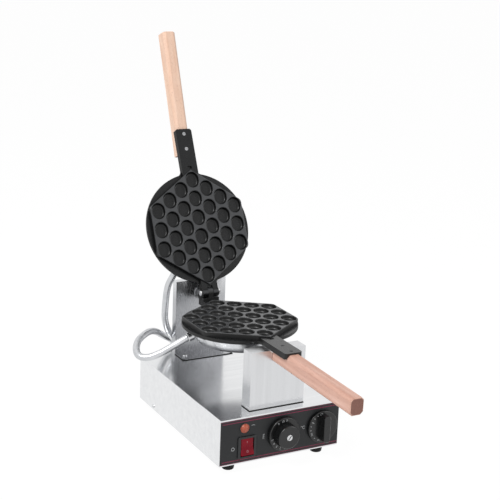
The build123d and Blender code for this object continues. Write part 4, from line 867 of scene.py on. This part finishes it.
@dataclass
class Controls:
    """What the eye sees on the knobs, the rocker, the lamp and the panel beside them.

    Attributes:
        marks: The maker of the marks.
        timer_face: Depth of the numbered skirt's face.
        grip_radius: Radius of the timer's grip.
        grip_length: Its length.
        timer_ring: Radius of the timer's ring of numbers.
        dial_face: Depth of the temperature dial's face.
        dial_ring: Radius of the dial's ring of numbers.
        tick_end: Radius at which its ticks end.
        ribs: How many ribs the grip has.
        rib: Radius of a rib.
        rib_gap: How much shorter than the grip a rib is.
        cap_stand: How far the timer's cap stands out of the grip.
        lamp_place: Where the lamp is, across and up.
        lamp_ring: Radius of the ring round the lamp, and half its thickness.
        on_half: Depth, height, spin and tilt of the sign on the rocker's upper half.
        off_half: The same for its lower half.
    """

    marks: Marks
    timer_face: float = -165.0
    grip_radius: float = 19.5
    grip_length: float = 15.0
    timer_ring: float = 23.6
    dial_face: float = -164.0
    dial_ring: float = 23.2
    tick_end: float = 25.0
    ribs: int = 36
    rib: float = 0.75
    rib_gap: float = 2.4
    cap_stand: float = 0.8
    lamp_place: tuple[float, float] = (-67.0, 75.25)
    lamp_ring: tuple[float, float] = (8.1, 0.8)
    on_half: tuple[float, ...] = (-159.74, 51.07, 0.0, 0.13)
    off_half: tuple[float, ...] = (-161.89, 35.82, 0.0, -16.13)

    def round_place(self, across: float, depth: float, angle: float, radius: float) -> Matrix:
        """A place at an angle round a knob, with the mark's top pointing outwards."""
        turn = math.radians(angle)
        return facing_front(across + radius * math.cos(turn), depth,
                            PANEL_MIDDLE + radius * math.sin(turn), angle - 90)

    def numbers(self, across: float, depth: float, radius: float, height: float,
                angles: dict[str, float]) -> list[Piece]:
        """Numbers of one height on a ring round a knob, each at its angle."""
        return [self.marks.word(text, height, self.round_place(across, depth, angle, radius))
                for text, angle in angles.items()]

    def timer(self) -> None:
        """Minutes on the skirt, ribs round the grip, and a black bar on the bright cap as painted
        shadow of its slot.
        """
        words = self.numbers(TIMER_ACROSS, self.timer_face, self.timer_ring, 3.9, {
            "5": 194, "4": 213, "3": 232, "2": 251, "1": 270, "0": 84, "10": 102, "9": 122})
        self.marks.put("timer_numbers", words, "white_ink", "knob", Body.TIMER)
        ribs, middle = [], self.timer_face - self.grip_length / 2 + 1.0
        for number in range(self.ribs):
            turn = 2 * math.pi * number / self.ribs
            rib = start_piece("rib", bpy.ops.mesh.primitive_cylinder_add, vertices=10,
                              radius=self.rib * MM, depth=(self.grip_length - self.rib_gap) * MM)
            settle(rib, facing_front(TIMER_ACROSS + self.grip_radius * math.cos(turn), middle,
                                     PANEL_MIDDLE + self.grip_radius * math.sin(turn)))
            ribs.append(rib)
        self.marks.put("timer_grip_ribs", ribs, "phenolic", "knob", Body.TIMER)
        front = self.timer_face - self.grip_length - self.cap_stand
        # Painted shadow: a thin blackened bar stands for the dark of the cap's slot.
        slot = self.marks.bar(1.5, 8.2, facing_front(TIMER_ACROSS, front, PANEL_MIDDLE, -38))
        self.marks.put("timer_cap_slot_shadow", [slot], "blackened", "bright_steel", Body.TIMER)

    def dial(self) -> None:
        """Numbers and ticks on the left half of the temperature dial."""
        pieces = self.numbers(DIAL_ACROSS, self.dial_face, self.dial_ring, 2.9, {
            "250": 100, "100": 205, "50": 250})
        for angle in (118, 135, 153, 170, 187, 228):
            length = 5.2 if angle == 153 else 2.4
            pieces.append(self.marks.bar(1.0, length, self.round_place(
                DIAL_ACROSS, self.dial_face, angle, self.tick_end - length / 2)))
        self.marks.put("dial_numbers", pieces, "white_ink", "knob", Body.THERMOSTAT)

    def rocker(self) -> None:
        """The signs for on and off, each on its half of the rocker."""
        pieces = [self.marks.bar(0.8, 3.6, facing_front(SWITCH_ACROSS, *self.on_half)),
                  self.marks.ring(1.5, 0.6, facing_front(SWITCH_ACROSS, *self.off_half))]
        self.marks.put("rocker_signs", pieces, "rose_ink", "rocker_red", Body.ROCKER)

    def lamp(self) -> None:
        """The dark ring round the lamp."""
        radius, half = self.lamp_ring
        across, up = self.lamp_place
        piece = start_piece("lamp_ring", bpy.ops.mesh.primitive_torus_add, major_radius=radius * MM,
                            minor_radius=half * MM, major_segments=48, minor_segments=10)
        settle(piece, facing_front(across, FILM_FRONT - 0.3, up))
        piece.data.polygons.foreach_set("use_smooth", [True] * len(piece.data.polygons))
        self.marks.shelf.fit(piece, "black_nylon", "black_plastic", Body.BASE)

    def panel(self) -> None:
        """The small grey marks beside the controls."""
        pieces = [self.marks.ring(2.6, 0.8, facing_front(-87.0, FILM_FRONT, 42.0)),
                  self.marks.word(")", 5.0, facing_front(-52.0, FILM_FRONT, 78.0, 90.0)),
                  self.marks.word("MIN", 3.4, facing_front(-31.5, FILM_FRONT, 54.5, 90.0)),
                  self.marks.word("\u00b0C", 5.0, facing_front(41.5, FILM_FRONT, 57.0)),
                  self.marks.bar(1.1, 11.0, facing_front(106.2, FILM_FRONT, 50.0))]
        self.marks.put("panel_marks", pieces, "white_ink", "overlay", Body.BASE)

    def build(self) -> None:
        """Adds everything."""
        self.timer()
        self.dial()
        self.rocker()
        self.lamp()
        self.panel()
        LOG.info("controls have their marks")


@dataclass
class HingeWeb:
    """The cast web that closes the lid's fork in front of the hinge knuckle.

    Attributes:
        reach: Distance from the hinge's axis to the web's middle, in millimetres.
        size: The web's size across, through the plate, and along it.
        corner: Radius of its edges.
    """

    reach: float = 10.0
    size: tuple[float, float, float] = (10.6, 6.6, 3.4)
    corner: float = 0.5

    def build(self, shelf: FinishShelf) -> None:
        """Casts the web, which rides on the lid."""
        turn = math.radians(OPEN_ANGLE - 90)
        along = Vector((0.0, math.sin(turn), math.cos(turn)))
        web = start_piece("hinge_fork_web", bpy.ops.mesh.primitive_cube_add, size=1.0,
                          location=at(*HINGE) + along * self.reach * MM, rotation=(-turn, 0.0, 0.0),
                          scale=[side * MM for side in self.size])
        settle(web)
        round_edges(web, "cast_edges", self.corner, 3)
        shelf.fit(web, "upper_casting", "cast", Body.UPPER)


@dataclass
class ContactShadowStrips:
    """Thin black strips, painted contact shadow, where the sheet uprights stand on the case.

    Attributes:
        floor: Height of the case top.
        tall: How high a strip stands.
        out: How far it sticks out.
        under: How far it reaches under the sheet.
        rest_front: Depth of the front rest's face.
        rest_back: Where the strips along its sides end.
        rest_half: Half the rest's width.
        foot_front: Depth of the front edge of the post's foot.
        foot_back: Where the strip under the foot ends.
        foot_half: Half the foot's width.
        foot_corner: Radius of the foot's corners.
    """

    floor: float = 94.0
    tall: float = 1.1
    out: float = 0.7
    under: float = 1.0
    rest_front: float = -141.0
    rest_back: float = -115.0
    rest_half: float = 50.0
    foot_front: float = 108.0
    foot_back: float = 143.0
    foot_half: float = 49.0
    foot_corner: float = 8.0

    def strip(self, name: str, left: float, right: float, front: float, back: float,
              corner: float = 0.0) -> Piece:
        """One strip between four sides, with round upright corners if asked."""
        piece = start_box(name, at(left, front, self.floor), at(right, back, self.floor + self.tall))
        if corner:
            bpy.ops.object.mode_set(mode="EDIT")
            mesh = bmesh.from_edit_mesh(piece.data)
            for edge in mesh.edges:
                a, b = (vertex.co for vertex in edge.verts)
                upright = abs(a.z - b.z) > self.tall / 2 * MM
                edge.select_set(upright and a.y < at(0, front + self.under, 0).y)
            bmesh.update_edit_mesh(piece.data)
            bpy.ops.mesh.bevel(offset=corner * MM, segments=8, affect="EDGES")
            bpy.ops.object.mode_set(mode="OBJECT")
        return piece

    def build(self, shelf: FinishShelf) -> None:
        """Strips round the front rest and under the post's foot."""
        front, back = self.rest_front - self.out, self.rest_back
        outer, inner = self.rest_half + self.out, self.rest_half - self.under
        rest = join_pieces("front_rest_contact_shadow", [
            self.strip("a", -outer, outer, front, self.rest_front + self.under),
            self.strip("b", -outer, -inner, front, back),
            self.strip("c", inner, outer, front, back)])
        side = self.foot_half + self.out
        foot = self.strip("post_foot_contact_shadow", -side, side, self.foot_front - self.out, self.foot_back,
                          self.foot_corner)
        # Painted contact shadow: black strips along the uprights' feet, not real seals.
        for piece in (rest, foot):
            shelf.fit(piece, "rubber", "rubber", Body.BASE)


def dress_nodes(shelf: FinishShelf, nodes: dict[str, Piece]) -> None:
    """Gives every CAD node the finish of its real piece."""
    for finish, names in NODE_FINISHES.items():
        for name in names:
            shelf.paint(nodes[name], finish)
    LOG.info("%d nodes have a finish", sum(len(names) for names in NODE_FINISHES.values()))


@dataclass
class Studio:
    """White floor and surroundings, soft lamps, and the camera of the photograph.

    Attributes:
        floor_size: Side of the floor in metres.
        sky: Strength of the even light on the object.
        floor_glow: How brightly the floor shines where it is seen.
        floor_share: How much of what is seen there is that glow.
        lamp_side: Side of each lamp in metres.
        target: What the lamps point at, in millimetres about the middle of the base.
        sensor: Camera sensor width in millimetres.
        focal: Focal length in pixels of a picture 500 pixels wide.
        azimuth: How far round the camera stands, in degrees.
        elevation: How high it looks down from.
        roll: How far it is turned about its own line of sight.
        place: Where it stands, in millimetres about the middle of the base.
    """

    floor_size: float = 30.0
    sky: float = 0.42
    floor_glow: float = 1.03
    floor_share: float = 0.93
    lamp_side: float = 1.2
    target: tuple[float, float, float] = (0.0, 0.0, 200.0)
    sensor: float = 36.0
    focal: float = 1190.46
    azimuth: float = -29.021
    elevation: float = 15.165
    roll: float = 2.205
    place: tuple[float, float, float] = (-918.5, -1688.1, 843.0)

    def seen(self, tree: Tree) -> Socket:
        """1 for rays from the camera and for those that gloss or glass sends on."""
        path = add_node(tree, "ShaderNodeLightPath")
        first = calculate(tree, "MAXIMUM", path.outputs["Is Camera Ray"], path.outputs["Is Glossy Ray"])
        return calculate(tree, "MAXIMUM", first, path.outputs["Is Transmission Ray"])

    def world(self) -> None:
        """White to look at, and softer as a light."""
        world = bpy.data.worlds.new("white_surroundings")
        bpy.context.scene.world = world
        tree = fresh_tree(world)
        background = add_node(tree, "ShaderNodeBackground", inputs={
            "Color": colour("#ffffff"),
            "Strength": remap(tree, self.seen(tree), (0.0, 1.0), (self.sky, 1.0))})
        add_node(tree, "ShaderNodeOutputWorld", inputs={"Surface": background.outputs[0]})

    def floor(self) -> None:
        """A white floor that keeps a faint shadow."""
        floor = start_piece("floor", bpy.ops.mesh.primitive_plane_add, size=self.floor_size)
        material = bpy.data.materials.new("white_paper_floor")
        tree = fresh_tree(material)
        paper = add_node(tree, "ShaderNodeBsdfDiffuse", inputs={"Color": colour("#f4f4f4")})
        glow = add_node(tree, "ShaderNodeEmission", inputs={
            "Color": colour("#ffffff"), "Strength": self.floor_glow})
        mix = add_node(tree, "ShaderNodeMixShader", inputs={
            0: calculate(tree, "MULTIPLY", self.seen(tree), self.floor_share), 1: paper.outputs[0],
            2: glow.outputs[0]})
        add_node(tree, "ShaderNodeOutputMaterial", inputs={"Surface": mix.outputs[0]})
        floor.data.materials.append(material)

    def lamp(self, name: str, place: Vector, power: float) -> None:
        """One square soft lamp that points at the machine, with its power in watts."""
        data = bpy.data.lights.new(name, "AREA")
        data.shape, data.size, data.energy = "SQUARE", self.lamp_side, power
        lamp = new_object(name, data)
        lamp.location = place
        lamp.rotation_mode = "QUATERNION"
        lamp.rotation_quaternion = (at(*self.target) - place).to_track_quat("-Z", "Y")

    def camera(self) -> None:
        """The camera, measured from the photograph."""
        data = bpy.data.cameras.new("camera")
        data.sensor_width = self.sensor
        data.lens = self.focal / 500 * self.sensor
        data.clip_start, data.clip_end = 0.05, 100.0
        turn, lift, tilt = (math.radians(v) for v in (self.azimuth, self.elevation, self.roll))
        back = Vector((math.sin(turn) * math.cos(lift), -math.cos(turn) * math.cos(lift),
                       math.sin(lift)))
        right = (-back).cross(Vector((0, 0, 1))).normalized()
        up = right.cross(-back)
        across = math.cos(tilt) * right + math.sin(tilt) * up
        upward = -math.sin(tilt) * right + math.cos(tilt) * up
        camera = new_object("camera", data)
        camera.matrix_world = Matrix.Translation(at(*self.place)) @ Matrix(
            (across, upward, back)).transposed().to_4x4()
        bpy.context.scene.camera = camera

    def build(self) -> None:
        """Sets the whole studio up."""
        bpy.context.scene.view_settings.view_transform = "Standard"
        self.world()
        self.floor()
        self.lamp("key_softbox", Vector((-1.9, -0.5, 2.7)), 62.0)
        self.lamp("fill_softbox", Vector((2.3, -1.6, 1.2)), 14.0)
        self.camera()
        LOG.info("studio is set")


def main() -> None:
    """Builds the looks of the whole machine, piece by piece."""
    logging.basicConfig(level=logging.INFO, format="%(name)s: %(message)s")
    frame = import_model()
    shelf = FinishShelf()
    Studio().build()
    dress_nodes(shelf, frame["nodes"])
    Conduits().build(shelf)
    PanelPrint().build(shelf)
    Controls(Marks(shelf)).build()
    ContactShadowStrips().build(shelf)
    HingeWeb().build(shelf)


if __name__ == "__main__":
    main()
